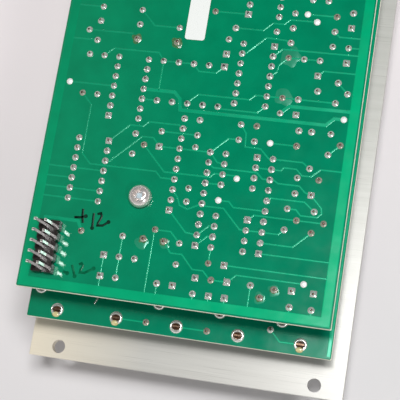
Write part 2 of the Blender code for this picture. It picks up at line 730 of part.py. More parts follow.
def make_pillar():
    """The hexagonal pillar between the boards, bored through for a screw at each end."""
    limits = (FRONT_BOARD_FACE + SEAT_GAP, REAR_BOARD_SEAT - SEAT_GAP)
    shape = bmesh.new()
    add_round(shape, PILLAR_WIDTH / math.cos(math.pi / 6), limits, sides=6)
    pillar = place("board_pillar", finished(shape, "board_pillar"), NICKEL, rear_spot(*PILLAR_STEPS))
    cuts = bmesh.new()
    through = (limits[0] - OVERRUN, limits[1] + OVERRUN)
    add_round(cuts, cleared(SCREW_DIAMETER), through, sides=SMALL_ROUND_SIDES)
    with_tool(pillar, cuts, "DIFFERENCE")


def screw_profile(reach):
    """Radius and height pairs of a pan head screw, its head's seat at zero and its top at +Z."""
    head = SCREW_HEAD_DIAMETER / 2
    shoulder_share, rim_share, crown_share = 0.45, 0.93, 0.6
    return (
        (0, SCREW_HEAD_HEIGHT),
        (head * crown_share, SCREW_HEAD_HEIGHT),
        (head * rim_share, SCREW_HEAD_HEIGHT * (1 + shoulder_share) / 2),
        (head, SCREW_HEAD_HEIGHT * shoulder_share),
        (head, 0),
        (SCREW_DIAMETER / 2, 0),
        (SCREW_DIAMETER / 2, -reach),
        (0, -reach),
    )


def make_screw(name, height, up):
    """A screw of the pillar, with its head on the rear board's face or under the front board."""
    reach = SEAT_GAP + BOARD_THICKNESS + SEAT_GAP + SCREW_ENTRY
    screw = place(name, profile_mesh("screw", screw_profile(reach)), STEEL, rear_spot(*PILLAR_STEPS))
    screw.location.z = height
    screw.rotation_euler.x = 0 if up else math.pi
    turned(screw, SMALL_ROUND_SIDES)
    cross = bmesh.new()
    limits = (SCREW_HEAD_HEIGHT - SCREW_CROSS_DEPTH, SCREW_HEAD_HEIGHT + OVERRUN)
    add_block(cross, around(0, SCREW_CROSS_LENGTH), around(0, SCREW_CROSS_WIDTH), limits)
    with_tool(screw, cross, "DIFFERENCE")
    second = bmesh.new()
    add_block(second, around(0, SCREW_CROSS_WIDTH), around(0, SCREW_CROSS_LENGTH), limits)
    with_tool(screw, second, "DIFFERENCE")


def make_chip(name, length, legs_a_side):
    """A dual in-line circuit hung under the rear board, with its legs through it."""
    low = CHIP_TOP - CHIP_HEIGHT
    shape = bmesh.new()
    corners = add_block(shape, around(0, CHIP_WIDTH), around(0, length), (low, CHIP_TOP))
    waist = bmesh.ops.subdivide_edges(shape, edges=edges_between(corners, upright), cuts=1)
    middle = {item for item in waist["geom_inner"] if isinstance(item, bmesh.types.BMVert)}
    for corner in shape.verts:
        if corner not in middle:
            corner.co.x -= math.copysign(CHIP_DRAFT, corner.co.x)
            corner.co.y -= math.copysign(CHIP_DRAFT, corner.co.y)
    chip = place(name, finished(shape, "chip"), CHIP_BLACK)

    shoulder = REAR_BOARD_SEAT - CHIP_LEG_HEIGHT
    shoulders, legs = bmesh.new(), bmesh.new()
    for y in leg_rows(legs_a_side):
        for side in (-1, 1):
            outer = side * (CHIP_LEG_SPAN + CHIP_LEG_THICKNESS) / 2
            inner = side * (CHIP_WIDTH / 2 - CHIP_LEG_ROOT)
            x_limits = (min(inner, outer), max(inner, outer))
            flat = (shoulder - CHIP_LEG_THICKNESS, shoulder)
            add_block(shoulders, x_limits, around(y, CHIP_LEG_WIDTH), flat)
            down = (shoulder - CHIP_LEG_THICKNESS, REAR_BOARD_FACE + LEAD_STAND)
            x = side * CHIP_LEG_SPAN / 2
            add_block(legs, around(x, CHIP_LEG_THICKNESS), around(y, CHIP_LEG_WIDTH), down)
    with_tool(chip, shoulders, "UNION")
    with_tool(chip, legs, "UNION")
    notch = bmesh.new()
    limits = (low - OVERRUN, low + CHIP_NOTCH_DEPTH)
    spot = (0, length / 2 - CHIP_DRAFT)
    add_round(notch, CHIP_NOTCH_DIAMETER, limits, spot, LEAD_SIDES)
    with_tool(chip, notch, "DIFFERENCE")
    return chip


def make_capacitor():
    """An electrolytic capacitor that stands under the rear board, with its rolled groove."""
    high = REAR_BOARD_SEAT - SEAT_GAP
    low = high - CAPACITOR_HEIGHT
    radius = CAPACITOR_DIAMETER / 2
    groove = high - CAPACITOR_GROOVE_FROM_END
    profile = (
        (0, high),
        (radius - CAPACITOR_GROOVE, high),
        (radius, high - CAPACITOR_GROOVE),
        (radius, groove + CAPACITOR_GROOVE),
        (radius - CAPACITOR_GROOVE, groove),
        (radius, groove - CAPACITOR_GROOVE),
        (radius, low),
        (0, low),
    )
    capacitor = place("capacitor", profile_mesh("capacitor", profile), CAPACITOR_SLEEVE)
    capacitor.location = (*rear_spot(*CAPACITOR_STEPS), 0)
    turned(capacitor, SMALL_ROUND_SIDES)
    leads = bmesh.new()
    limits = (high - OVERRUN, REAR_BOARD_FACE + LEAD_STAND)
    for side in (-1, 1):
        spot = (side * CAPACITOR_LEAD_PITCH / 2, 0)
        add_round(leads, CAPACITOR_LEAD_DIAMETER, limits, spot, LEAD_SIDES)
    with_tool(capacitor, leads, "UNION")


def make_resistor(name, spot):
    """A resistor that lies along Y, with its two leads bent up through the rear board."""
    middle = REAR_BOARD_SEAT - SEAT_GAP - RESISTOR_DIAMETER / 2
    shape = bmesh.new()
    corners = add_round(shape, RESISTOR_DIAMETER, around(0, RESISTOR_LENGTH), sides=SMALL_ROUND_SIDES)
    quarter_turn = Matrix.Rotation(math.pi / 2, 3, "X")
    bmesh.ops.rotate(shape, verts=corners, cent=(0, 0, 0), matrix=quarter_turn)
    bmesh.ops.translate(shape, verts=corners, vec=(0, 0, middle))
    resistor = place(name, finished(shape, "resistor"), RESISTOR_LACQUER, spot)

    runs, rises = bmesh.new(), bmesh.new()
    x_limits = around(0, RESISTOR_LEAD_WIDTH)
    low, high = around(middle, RESISTOR_LEAD_WIDTH)
    for y in lead_rows(RESISTOR_ROW_STEPS):
        inner = math.copysign(RESISTOR_LENGTH / 2 - OVERRUN, y)
        outer = math.copysign(abs(y) + RESISTOR_LEAD_WIDTH / 2, y)
        add_block(runs, x_limits, (min(inner, outer), max(inner, outer)), (low, high))
        add_block(rises, x_limits, around(y, RESISTOR_LEAD_WIDTH), (low, REAR_BOARD_FACE + LEAD_STAND))
    with_tool(resistor, runs, "UNION")
    with_tool(resistor, rises, "UNION")
    return resistor


def make_film_capacitor(name, spot):
    """A film capacitor: an upright box that stands under the rear board on its two leads."""
    high = REAR_BOARD_SEAT - SEAT_GAP
    shape = bmesh.new()
    limits = (high - FILM_HEIGHT, high)
    corners = add_block(shape, around(0, FILM_THICKNESS), around(0, FILM_LENGTH), limits)
    chamfer(shape, edges_between(corners, upright), FILM_CORNER)
    capacitor = place(name, finished(shape, "film_capacitor"), FILM_BOX, spot)
    leads = bmesh.new()
    limits = (high - OVERRUN, REAR_BOARD_FACE + LEAD_STAND)
    for y in lead_rows(FILM_ROW_STEPS):
        add_block(leads, around(0, FILM_LEAD_WIDTH), around(y, FILM_LEAD_WIDTH), limits)
    with_tool(capacitor, leads, "UNION")
    return capacitor


def repeat(name, make, spots):
    """Make a piece at the first spot and copies of it, which share its mesh, at the others."""
    first = make(f"{name}_1", spots[0])
    mesh = settle(first)
    for number, spot in enumerate(spots[1:], start=2):
        place(f"{name}_{number}", mesh, None, spot)


def make_jacks():
    """Every jack with its nut."""
    repeat("jack", make_jack, jack_places())
    sizes = (JACK_NUT_WIDTH, JACK_BUSHING_DIAMETER, JACK_NUT_THICKNESS)
    repeat("jack_nut", lambda name, spot: make_nut(name, spot, *sizes), jack_places())


def make_pots():
    """Every potentiometer, with its shaft and knob on an empty that stands on its axis."""
    repeat("pot_body", make_pot_body, pot_places())
    sizes = (POT_NUT_WIDTH, POT_BUSHING_DIAMETER, POT_NUT_THICKNESS)
    repeat("pot_nut", lambda name, spot: make_nut(name, spot, *sizes), pot_places())
    meshes = {}
    for number, spot in enumerate(pot_places(), start=1):
        axis = bpy.data.objects.new(f"pot_axis_{number}", None)
        axis.location = (*spot, 0)
        axis.parent = MODULE
        PARTS.objects.link(axis)
        for name, make in (("pot_shaft", make_shaft), ("pot_knob", make_knob)):
            if name in meshes:
                place(f"{name}_{number}", meshes[name], None, parent=axis)
            else:
                meshes[name] = settle(make(f"{name}_{number}", axis))


def make_chips(places, first_number, length, legs_a_side):
    """Integrated circuits of one size, each with its notch at the end that its place names."""
    mesh = None
    for number, (column, row, end) in enumerate(places, start=first_number):
        name = f"chip_{number}"
        if mesh is None:
            chip = make_chip(name, length, legs_a_side)
            mesh = settle(chip)
        else:
            chip = place(name, mesh, None)
        chip.location = (*rear_spot(column, row), 0)
        chip.rotation_euler = (0, 0, 0 if end == "top" else math.pi)


clear_scene()
PARTS = new_collection("eurorack_module")
TOOLS = new_collection("cutters", hidden=True)
MODULE = bpy.data.objects.new("module", None)
MODULE.location = (0, 0, -KNOB_END)
PARTS.objects.link(MODULE)

ALUMINIUM = new_material("aluminium", (0.72, 0.69, 0.63), 0.35, 1)
BOARD_GREEN = new_material("board_green", (0.0, 0.24, 0.13), 0.3, 0)
BLACK_PLASTIC = new_material("black_plastic", (0.02, 0.02, 0.022), 0.45, 0)
KNOB_BLACK = new_material("knob_black", (0.03, 0.03, 0.032), 0.4, 0)
CHIP_BLACK = new_material("chip_black", (0.03, 0.03, 0.035), 0.55, 0)
NICKEL = new_material("nickel", (0.66, 0.64, 0.6), 0.28, 1)
STEEL = new_material("steel", (0.6, 0.6, 0.6), 0.25, 1)
POT_METAL = new_material("pot_metal", (0.5, 0.52, 0.52), 0.4, 1)
CAPACITOR_SLEEVE = new_material("capacitor_sleeve", (0.02, 0.03, 0.12), 0.4, 0)
RESISTOR_LACQUER = new_material("resistor_lacquer", (0.12, 0.32, 0.5), 0.4, 0)
FILM_BOX = new_material("film_capacitor_box", (0.45, 0.04, 0.03), 0.35, 0)

make_panel()
make_front_board()
make_rear_board()
make_jacks()
make_pots()
make_power_header()
repeat("pin_strip", make_pin_strip, strip_places())
repeat("strip_socket", make_socket, strip_places())
make_pillar()
make_screw("rear_board_screw", REAR_BOARD_FACE + SEAT_GAP, up=True)
make_screw("front_board_screw", FRONT_BOARD_SEAT - SEAT_GAP, up=False)
make_chips(LONG_CHIP_PLACES, 1, LONG_CHIP_LENGTH, LONG_CHIP_LEGS_A_SIDE)
make_chips(SHORT_CHIP_PLACES, 1 + len(LONG_CHIP_PLACES), SHORT_CHIP_LENGTH, SHORT_CHIP_LEGS_A_SIDE)
make_capacitor()
repeat("resistor", make_resistor, between(RESISTOR_COLUMN_STEPS, RESISTOR_ROW_STEPS))
repeat("film_capacitor", make_film_capacitor, between(FILM_COLUMN_STEPS, FILM_ROW_STEPS))
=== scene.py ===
# The looks of a synthesiser module that lies face down on its knobs, with its solder side up.
# Metres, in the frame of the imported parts. The circuit boards are laid out in grid steps of a
# tenth of an inch, counted from each board's lower left corner as seen from behind.

import math
import random
from collections import namedtuple

import bmesh
import bpy
from mathutils import Matrix, Vector


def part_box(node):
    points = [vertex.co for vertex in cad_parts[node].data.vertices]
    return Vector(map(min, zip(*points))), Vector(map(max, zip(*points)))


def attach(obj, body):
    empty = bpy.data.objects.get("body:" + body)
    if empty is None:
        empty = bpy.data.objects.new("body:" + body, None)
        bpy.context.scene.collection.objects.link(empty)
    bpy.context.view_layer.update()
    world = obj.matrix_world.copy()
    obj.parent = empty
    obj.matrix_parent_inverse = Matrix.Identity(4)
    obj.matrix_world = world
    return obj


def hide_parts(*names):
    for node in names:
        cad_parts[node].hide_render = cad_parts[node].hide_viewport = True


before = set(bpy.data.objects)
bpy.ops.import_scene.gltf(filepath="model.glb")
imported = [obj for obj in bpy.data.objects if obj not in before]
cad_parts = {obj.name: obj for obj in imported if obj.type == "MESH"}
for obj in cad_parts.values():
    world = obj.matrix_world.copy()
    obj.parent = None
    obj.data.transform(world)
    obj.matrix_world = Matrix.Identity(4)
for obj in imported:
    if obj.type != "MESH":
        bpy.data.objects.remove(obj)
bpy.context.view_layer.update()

# Camera, from the corners of the boards and the panel's holes in the photograph
CAMERA_SPOT = Vector((0.05985, -0.07756, 0.30603))
CAMERA_AIM = Vector((0.00238, -0.02349, 0.041))
CAMERA_ROLL = math.radians(9.39)
SENSOR_WIDTH = 36
IMAGE_PIXELS = 400
FOCAL_PIXELS = 1165.6
CLIP_LIMITS = (0.01, 10)

# Light: the window's way in follows the spot of light below the panel's lower left hole
WINDOW_SPOT = (0.245, 0.125, 1.0)
WINDOW_SIZE = 0.2
WINDOW_POWER = 4.0
SKY_SPOT = (0.075, 0.035, 1.0)
SKY_SIZE = 0.12
SKY_POWER = 3.5
LAMP_SPOT = (0.6, -0.52, 0.78)
LAMP_SIZE = 0.3
LAMP_POWER = 0.9
SPARK_SPOT = (0.6, -0.5, 0.78)
SPARK_SIZE = 0.2
SPARK_POWER = 1.2
WALL_NEAR = (0.4, 0.4, 0.4)
WALL_FAR = (0.14, 0.14, 0.145)
CEILING = (0.02, 0.02, 0.02)
CEILING_WARM = (0.3, 0.28, 0.24)
HORIZON_NEAR = (1.0, 0.99, 0.98)
HORIZON_FAR = (0.5, 0.495, 0.5)

# Where the room changes from one tone to the next, as the part of a direction along an axis
CEILING_X_LIMITS = (-0.42, -0.2)
WALL_Y_LIMITS = (-0.7, 0.1)
WALL_TOP_LIMITS = (0.6, 0.92)
HORIZON_Y_LIMITS = (-0.8, 0.6)
HORIZON_TOP_LIMITS = (0.15, 0.3)

# Painted light, as slow changes of tone over a surface: the heading, then where along it they start
# and end
MASK_PAINTED_SHEEN_SLOPE = ((1, -0.6), -0.05, 0.06)
PANEL_PAINTED_REFLECTION_SLOPE = ((1, 0), -0.04, -0.01)
TABLE_PAINTED_LIGHT_SLOPE = ((-0.42, 0.91), -0.07, 0.05)

# Noises in the materials: the middle of their range, how far they change the tone and the
# roughness as shares, the sizes of their features and the heights of their relief
NOISE_MIDDLE = {"From Min": 0.3, "From Max": 0.7}
MASK_TONES = (0.9, 1.08)
MASK_GLOSS_SHARES = (0.8, 1.3)
METAL_GLOSS_SHARES = (0.75, 1.3)
PLASTIC_GLOSS_SHARES = (0.85, 1.2)
LACQUER_TONES = (0.94, 1.05)
LINE_TONES = (0.975, 1.01)
TABLE_TONES = (0.99, 1.01)
BRUSHED_GLOSS = (0.26, 0.34)
THREAD_GLOSS = (0.18, 0.3)
MASK_GRAIN = 0.006
MASK_GLOSS_GRAIN = 0.004
MASK_WAVES = 0.003
MASK_RELIEF = 0.000006
LAMINATE_GRAIN = 0.0004
LAMINATE_STRETCH = (4, 4, 0.5)
LAMINATE_RELIEF = 0.00004
METAL_GRAIN = 0.0008
METAL_RELIEF = 0.00001
FINE_RELIEF = 0.000003
SMOOTH_RELIEF = 0.000002
PLASTIC_GRAIN = 0.0006
PLASTIC_RELIEF = 0.00002
STRAP_GRAIN = 0.0004
THREAD_GRAIN = 0.0005
THREAD_DEPTH = 0.00015
LINE_GRAIN = 0.00022
LINE_STRETCH = (90, 1, 1)
LINE_RELIEF = 0.000001
STREAK_GRAIN = 0.0016
STREAK_STRETCH = (22, 1, 1)
TABLE_GRAIN = 0.05

# Sizes shared by several pieces
GRID = 0.00254
OVERRUN = 0.001
ROUND_SIDES = 48
SEAT_GAP = 0.0003
EDGE_STEPS = 2
MITRE_LIMIT = 0.5
TABLE_REACH = 3
THREAD_PITCH = 0.0005
THREAD_WAVE = 0.314  # the wave texture runs through one wave in this length at a scale of one

# The least angle between two faces that shows as a sharp edge, in degrees
SHARP_ANGLE = 40
FLAT_ANGLE = 15
TRACK_ANGLE = 10
BORDER_ANGLE = 20
JOINT_ANGLE = 60
RECESS_ANGLE = 30

# Circuit boards
BOARD_EDGE = 0.00022
LEVEL_NORMAL = 0.9
MASK_LIFT = 0.000005
TRACK_LIFT = 0.00007
TRACK_SLOPE = 0.00014
BORDER_LIFT = 0.00008
TRACK_SHARES = ((1, 0), (0.2, 0.9), (0, 1))
TRACK_WIDTH = 0.00012
WIDE_TRACK_WIDTH = 0.0006
BORDER_OUTER_STEPS = 0.22
BORDER_INNER_STEPS = 1.0

# Resistors: their middle row, and their painted rings along Y
RESISTOR_ROW = 21.5
BAND_WIDTH = 0.00045
RESISTOR_BANDS = (
    (-0.0024, (0.22, 0.08, 0.03)),
    (-0.0014, (0.02, 0.02, 0.02)),
    (-0.0005, (0.02, 0.02, 0.02)),
    (0.0004, (0.5, 0.04, 0.03)),
    (0.0022, (0.22, 0.08, 0.03)),
)

# Solder joints
JOINT_SEED = 3
STAIN_SEED = 8
FRONT_JOINT_SEED = 5
PAD_WIDTH = 0.0016
LEAD_WIDTH = 0.0006
JOINT_HEIGHT = 0.0007
JOINT_SIDES = 16
LUG_PAD_WIDTH = 0.0033
LUG_SIDES = 32
JOINT_WIDTH_SPREAD = (0.96, 1.04)
JOINT_HEIGHT_SPREAD = (0.92, 1.12)
JOINT_SWAY = 0.0001
DOME_SWAY = 0.00005
SQUARENESS = 0.9
SQUARENESS_FADE = 5  # over a fifth of its height, a square joint turns round
LEAD_SIDES = 10
LEAD_SLANT = 0.1
LEAD_RINGS = ((-0.0001, 0.9), (0.00003, 0.9), (0.00005, 0.8))  # height, and share of the width

Board = namedtuple("Board", "node left bottom right top under face")


def board_of(node):
    """A circuit board's limits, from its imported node."""
    low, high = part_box(node)
    return Board(node, low.x, low.y, high.x, high.y, low.z, high.z)


REAR = board_of("rear_circuit_board")
FRONT = board_of("front_circuit_board")
PANEL_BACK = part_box("front_panel")[1].z


def on_board(board, column, row, lift=0.0):
    """The point over a grid crossing of a board, at this height over its face."""
    return Vector((board.left + column * GRID, board.bottom + row * GRID, board.face + lift))


# Tracks of the rear board's solder side, each a chain of grid crossings
REAR_TRACKS = (
    ((1, 10), (6.5, 10)),
    ((1, 9), (6.5, 9)),
    ((1, 12), (6.5, 12)),
    ((1, 11), (3.5, 11)),
    ((9.5, 6), (9.5, 2)),
    ((8, 4), (8, 0.8)),
    ((3, 19.5), (4.1, 18.4), (4.1, 13.5), (5.05, 12.55), (11.6, 12.55), (12.15, 12), (13.5, 12)),
    ((10, 15), (12.4, 12.6), (16.8, 12.6), (17.2, 13), (18, 13)),
    ((6.5, 15), (8.3, 16.8), (9.6, 16.8), (10.1, 17.3), (13.1, 17.3), (13.5, 17)),
    (
        (6.5, 13), (6.9, 13), (9.7, 15.8), (10.8, 15.8), (11.5, 15), (16.5, 15), (18, 16.5),
        (19, 16.5),
    ),
    ((11.5, 16.5), (15, 16.5)),
    ((13.5, 11), (14.1, 10.3), (14.4, 9.6), (15.2, 9.3), (15.6, 9.5), (16.5, 10)),
    ((13.5, 9), (15.4, 7.1), (16.5, 7)),
    ((16.5, 7), (17.5, 8), (18, 8)),
    ((12.5, 7), (14, 7), (15, 6)),
    ((16.5, 6), (17.5, 7), (18, 7)),
    ((18, 6), (18, 4.5)),
    (
        (13.5, 6), (14.3, 5), (15.4, 5), (16.6, 3.75), (17.6, 3.75), (18.4, 3), (20, 3),
        (20.75, 3.75), (27, 3.75),
    ),
    ((12.45, 6.8), (12.45, 0.8)),
    ((13.5, 2), (13.5, 0.8)),
    ((17, 1.5), (17, 0.8)),
    ((18.5, 1.5), (18.5, 0.8)),
    ((20, 1.5), (20, 0.8)),
    ((22.2, 3), (22.2, 0.8)),
    ((26, 1.5), (26, 0.8)),
    ((28, 1.5), (28, 0.8)),
    ((19.5, 4.5), (29.2, 4.5)),
    ((22.5, 6), (29.2, 6)),
    ((22.5, 7), (25.5, 7), (27, 8.5)),
    ((16.5, 9.8), (18.6, 9.8), (20.4, 8), (24, 8), (24.5, 8.5)),
    ((21, 9), (21.5, 9.5), (25.5, 9.5), (28, 9.5)),
    ((18, 10.5), (19, 10.5), (19.5, 10), (22.5, 10)),
    (
        (24.5, 10.5), (25.3, 10.5), (25.8, 10), (27.3, 10), (27.7, 10.4), (27.6, 10.9),
        (26.5, 12), (25.9, 12.2), (25.3, 12.75), (23.3, 12.75), (22.9, 13), (22.5, 13),
        (21.8, 13), (21.2, 13.55), (17, 13.55), (16.5, 14),
    ),
    ((22.5, 11), (22.8, 11.3), (26, 11.3), (27, 10.5)),
    ((16.5, 12), (18, 12)),
    ((16.5, 15), (17.3, 14.1), (18, 14)),
    ((18, 13), (19.4, 13)),
    (
        (21, 14), (23.4, 14), (23.6, 14.3), (24.8, 14.3), (25.4, 13.75), (26.25, 13.75),
        (27, 14.5), (29.2, 14.5),
    ),
    ((19, 18), (19.6, 17.2), (19.7, 15.9), (21.2, 15.85), (22.1, 15), (25.3, 15), (26, 14.5)),
    ((22, 16.5), (24.5, 16.5)),
    ((27.5, 16), (28.5, 17)),
    ((16.5, 19.5), (16.8, 19.3), (20.3, 19.3), (21, 20)),
    ((13.5, 19.6), (14.4, 20.5), (19.4, 20.5), (19.9, 21), (27.5, 21)),
    ((4.5, 23.5), (5.3, 24.3), (9.9, 24.3), (10.5, 23.5)),
    ((1.5, 20.5), (6, 20.5)),
    ((9, 19.5), (10.5, 19.5)),
    ((10.5, 23.5), (10.5, 20.5)),
    ((10.5, 23.5), (13.5, 23.5), (14.1, 22.8), (15.8, 22.8), (16.5, 23.5)),
    ((2.5, 26), (7, 26)),
    ((3.5, 28.5), (0.8, 28.5)),
    ((3.5, 25), (0.8, 25)),
    ((7.5, 28.5), (9, 27), (11.5, 27)),
    ((14.75, 29), (18, 29)),
    ((17, 27.5), (19.7, 27.5), (20.5, 28.3), (21.6, 28.3), (22.1, 28.8), (24.7, 28.8)),
    ((18, 25), (18.4, 25.1), (20.1, 26.8), (22, 26.7), (22.5, 26.5)),
    ((21, 25), (21.8, 25.8), (29.2, 25.8)),
    ((21, 23), (21.6, 23.5), (21.7, 24.2), (22.5, 25), (25.5, 25)),
    ((25.5, 23.5), (26, 24), (29.2, 24)),
    ((28, 26.5), (29.2, 26.5)),
    ((26.5, 28), (27, 27.5), (29.2, 27.5)),
    ((27.5, 23), (28.5, 22)),
    ((23.7, 29.5), (26.5, 29.5)),
)
REAR_WIDE_TRACKS = (
    ((1.5, 6.9), (4.9, 6.9), (5.4, 6)),
    (
        (9, 20.5), (12.1, 20.5), (12.7, 19.9), (12.9, 18.8), (26.9, 18.8), (27.6, 19.5),
        (28.5, 19.5),
    ),
    ((22.5, 19.5), (23.25, 20.25), (29.2, 20.3)),
)
REAR_CHAINS = ((TRACK_WIDTH, REAR_TRACKS), (WIDE_TRACK_WIDTH, REAR_WIDE_TRACKS))

# Solder joints of the rear board: runs of one joint a step (column, first row, number), then the
# joints that stand by themselves
JOINT_RUNS = (
    (3.5, 9, 7), (6.5, 9, 6), (6, 18.5, 6), (9, 17.5, 7), (13.5, 10, 9), (16.5, 7, 9), (18, 6, 4),
    (18, 12, 4), (18, 20, 7), (21, 6, 3), (21, 12, 3), (21, 20, 6), (22.5, 7, 9), (18, 30, 6),
    (21, 29, 6),
)
SQUARE_JOINTS = (
    (6.5, 15), (6, 17.5), (8, 2), (8, 4), (16.5, 23.5), (11.5, 15), (13.5, 9), (15, 2), (16.5, 6),
    (16.5, 24.8), (21, 26), (18, 29), (21, 9), (21, 15), (17, 3), (20, 3), (18.5, 1.5), (20, 1.5),
    (19.5, 4.5), (22.5, 6), (26, 3), (28, 3), (26.5, 12), (24, 19.5), (25.5, 23.5), (28, 25),
    (28, 28.5), (21, 35), (5, 33), (15, 33), (24, 35.5),
)
ROUND_JOINTS = (
    (3.5, 25), (3.5, 27), (3.5, 28.5), (9, 14), (9, 16), (2.5, 26), (3, 19.5), (4.5, 19.5),
    (3, 23.5), (4.5, 23.5), (7.5, 28.5), (7.5, 27), (5.4, 6), (9.5, 2), (9.5, 4), (9.5, 6),
    (11, 4), (10.5, 19.5), (12, 19.5), (13.5, 19.5), (15, 19.5), (16.5, 19.5), (10.5, 23.5),
    (12, 23.5), (13.5, 23.5), (15, 23.5), (11.5, 27), (11.5, 16.5), (15, 4), (15, 6), (15, 10),
    (15, 11.3), (15, 15.3), (15, 16.5), (15, 18), (13.5, 2), (14.75, 29), (16.5, 26.3),
    (17, 27.5), (18, 4.5), (21, 27.5), (18.5, 3), (17, 1.5), (19, 16.5), (19, 18), (20.5, 16.5),
    (20.5, 18), (22.2, 3), (26, 1.5), (28, 1.5), (24.5, 8.5), (27, 8.5), (25.5, 9.5), (28, 9.5),
    (24.5, 10.5), (27, 10.5), (25, 12), (25, 13.5), (27, 13.5), (26, 14.5), (24.5, 16.5),
    (27.5, 16), (28.5, 17), (24.5, 18), (25.7, 18), (27.5, 18), (22.5, 19.5), (24, 21),
    (27.5, 21), (25.7, 22), (28.5, 22), (27.5, 23), (24, 25), (25.5, 25), (22.5, 26.5),
    (26.5, 26.5), (28, 26.5), (22.5, 28), (26.5, 28), (22.5, 29.5), (26.5, 29.5), (28, 30),
    (3, 31), (3, 35), (5, 31), (7.5, 31.5), (7.5, 35.5), (9.5, 31.5), (9.5, 35.5), (11, 31),
    (15, 31), (16, 31.5), (16, 36), (24, 31), (24, 33), (25.5, 31), (25.5, 36), (27, 32),
    (27, 36), (28, 34), (5, 35), (12, 36), (13.5, 36), (11, 33.5),
)
DOMED_JOINTS = (
    (1.5, 20.5), (18, 10.5), (19.4, 12.75), (27, 3.75), (22, 16.5), (28.5, 19.5), (24.7, 28.8),
    (23.7, 29.5),
)
STAINED_JOINTS = (
    (7.5, 25.5), (10, 15), (11.5, 25.5), (11.5, 6), (12.5, 7), (13.5, 6), (23.2, 2), (24.4, 2.9),
    (22.5, 21), (22.5, 25),
)
DULL_JOINTS = (
    (27, 13.5), (25.5, 9.5), (18.5, 3), (18, 4.5), (5.4, 6), (3, 19.5), (20.5, 18), (27, 8.5),
    (26.5, 29.5), (14.75, 29), (28.5, 17), (24.5, 16.5), (28, 9.5),
)

# Flux left round joints, as the middle and width in steps: clear haze, then brown residue
HAZE_SPOTS = (
    (22.7, 25.1, 1.9), (22.6, 21.1, 1.7), (11.4, 5.6, 1.25), (13.6, 5.8, 1.0), (24.4, 2.8, 1.05),
    (23.2, 1.95, 1.05),
)
RESIDUE_SPOTS = (
    (7.45, 25.5, 1.0), (11.5, 25.45, 1.1), (11.5, 5.95, 0.8), (13.5, 5.95, 0.8),
    (24.4, 2.85, 0.75), (23.2, 1.95, 0.75),
)
STAIN_WAVES = 4
STAIN_WAVE_SHARES = (0.03, 0.12)
STAIN_TOP_SHARE = 0.98

# Front board: the solder side of the strip that shows below the rear board
LUG_JOINTS = ((3, 1), (9, 1), (15, 1), (21, 1), (27, 1), (1, 3), (13, 3), (19, 3), (25, 3))
FRONT_JOINTS = ((12, 1), (18, 1), (24, 2), (7.2, 3.2))
DULL_FRONT_JOINTS = ((12, 1), (18, 1), (7.2, 3.2))
WHISKER_STEPS = ((6.6, 2.05), (6.78, 2.5), (7.0, 2.75))
WHISKER_WIDTH = 0.00022
WHISKER_SLOPE = WHISKER_WIDTH / 4
FRONT_TRACKS = (
    ((9, 1), (12, 1)),
    ((15, 1), (18, 1)),
    ((24, 2), (25, 1), (27, 1)),
)
FRONT_EDGE_TRACKS = (((29.72, 0.25), (29.72, 43.45)),)
FRONT_EDGE_WIDTH = 0.0007
FRONT_CHAINS = ((TRACK_WIDTH, FRONT_TRACKS), (FRONT_EDGE_WIDTH, FRONT_EDGE_TRACKS))

# Rear board's screw, in shares of its head's radius and height: the head's outline, then the
# depth, half width and half depth of its recess
SCREW_RADIUS = 0.0015
HEAD_SHARES = (
    (0.93, 0.0), (1.0, 0.22), (0.99, 0.38), (0.95, 0.56), (0.87, 0.74), (0.76, 0.87),
    (0.62, 0.96), (0.5, 0.99), (0.4, 1.0),
)
PIT_SHARES = ((-0.2, 0.4, 0.4), (0.0, 0.36, 0.36), (0.5, 0.2, 0.2))
WING_SHARES = (
    ((-0.2, 0.68, 0.2), (0.0, 0.62, 0.16), (0.36, 0.4, 0.1)),
    ((-0.2, 0.2, 0.68), (0.0, 0.16, 0.62), (0.36, 0.1, 0.4)),
)

# Marker strokes on the rear board, each a chain of grid crossings: two plain numbers
PEN_WIDTH = 0.00048
PEN_SLOPE = PEN_WIDTH / 8
PEN_DOT_WIDTH = 0.001
PEN_DOT_TOP_SHARE = 0.9
PEN_STROKES = (
    ((5.2, 8.1), (5.27, 7.4), (5.42, 6.75)),
    ((4.5, 7.2), (5.05, 7.25), (5.6, 7.42)),
    ((6.32, 7.8), (6.36, 7.15), (6.42, 6.4)),
    (
        (6.7, 7.76), (7.02, 7.9), (7.14, 7.62), (7.06, 7.28), (6.9, 6.95), (6.88, 6.68),
        (7.4, 6.74), (7.88, 7.12),
    ),
)
PEN_DOTS = ((5.6, 7.42), (6.42, 6.38), (7.9, 7.14))
FAINT_STROKES = (
    ((4.35, 1.95), (4.82, 1.8)),
    ((5.13, 2.63), (5.32, 2.18), (5.58, 1.62)),
    (
        (5.8, 2.77), (6.03, 2.92), (6.2, 2.7), (6.05, 2.3), (6.02, 2.04), (6.45, 2.05),
        (7.25, 2.56),
    ),
)
FAINT_DOTS = ((4.82, 1.8), (5.58, 1.62), (7.28, 2.58))

# Bare sticker on the rear board
STICKER_STEPS = ((12.17, 25.9), (14.13, 33))
STICKER_THICKNESS = 0.0001
STICKER_CORNER = 0.0007
STICKER_CORNER_STEPS = 5

# Front panel: the rack's holes and those of the controls
PANEL_EDGE = 0.00015
RAIL_HOLE_WIDTH = 0.0034
RAIL_HOLE_FROM_SIDE = 0.0075
RAIL_HOLE_FROM_END = 0.003
RAIL_HOLE_SPAN = 0.06604
JACK_COUNT = 5
JACK_HOLE_WIDTH = 0.0066
POT_COUNT = 6
POT_HOLE_WIDTH = 0.0076

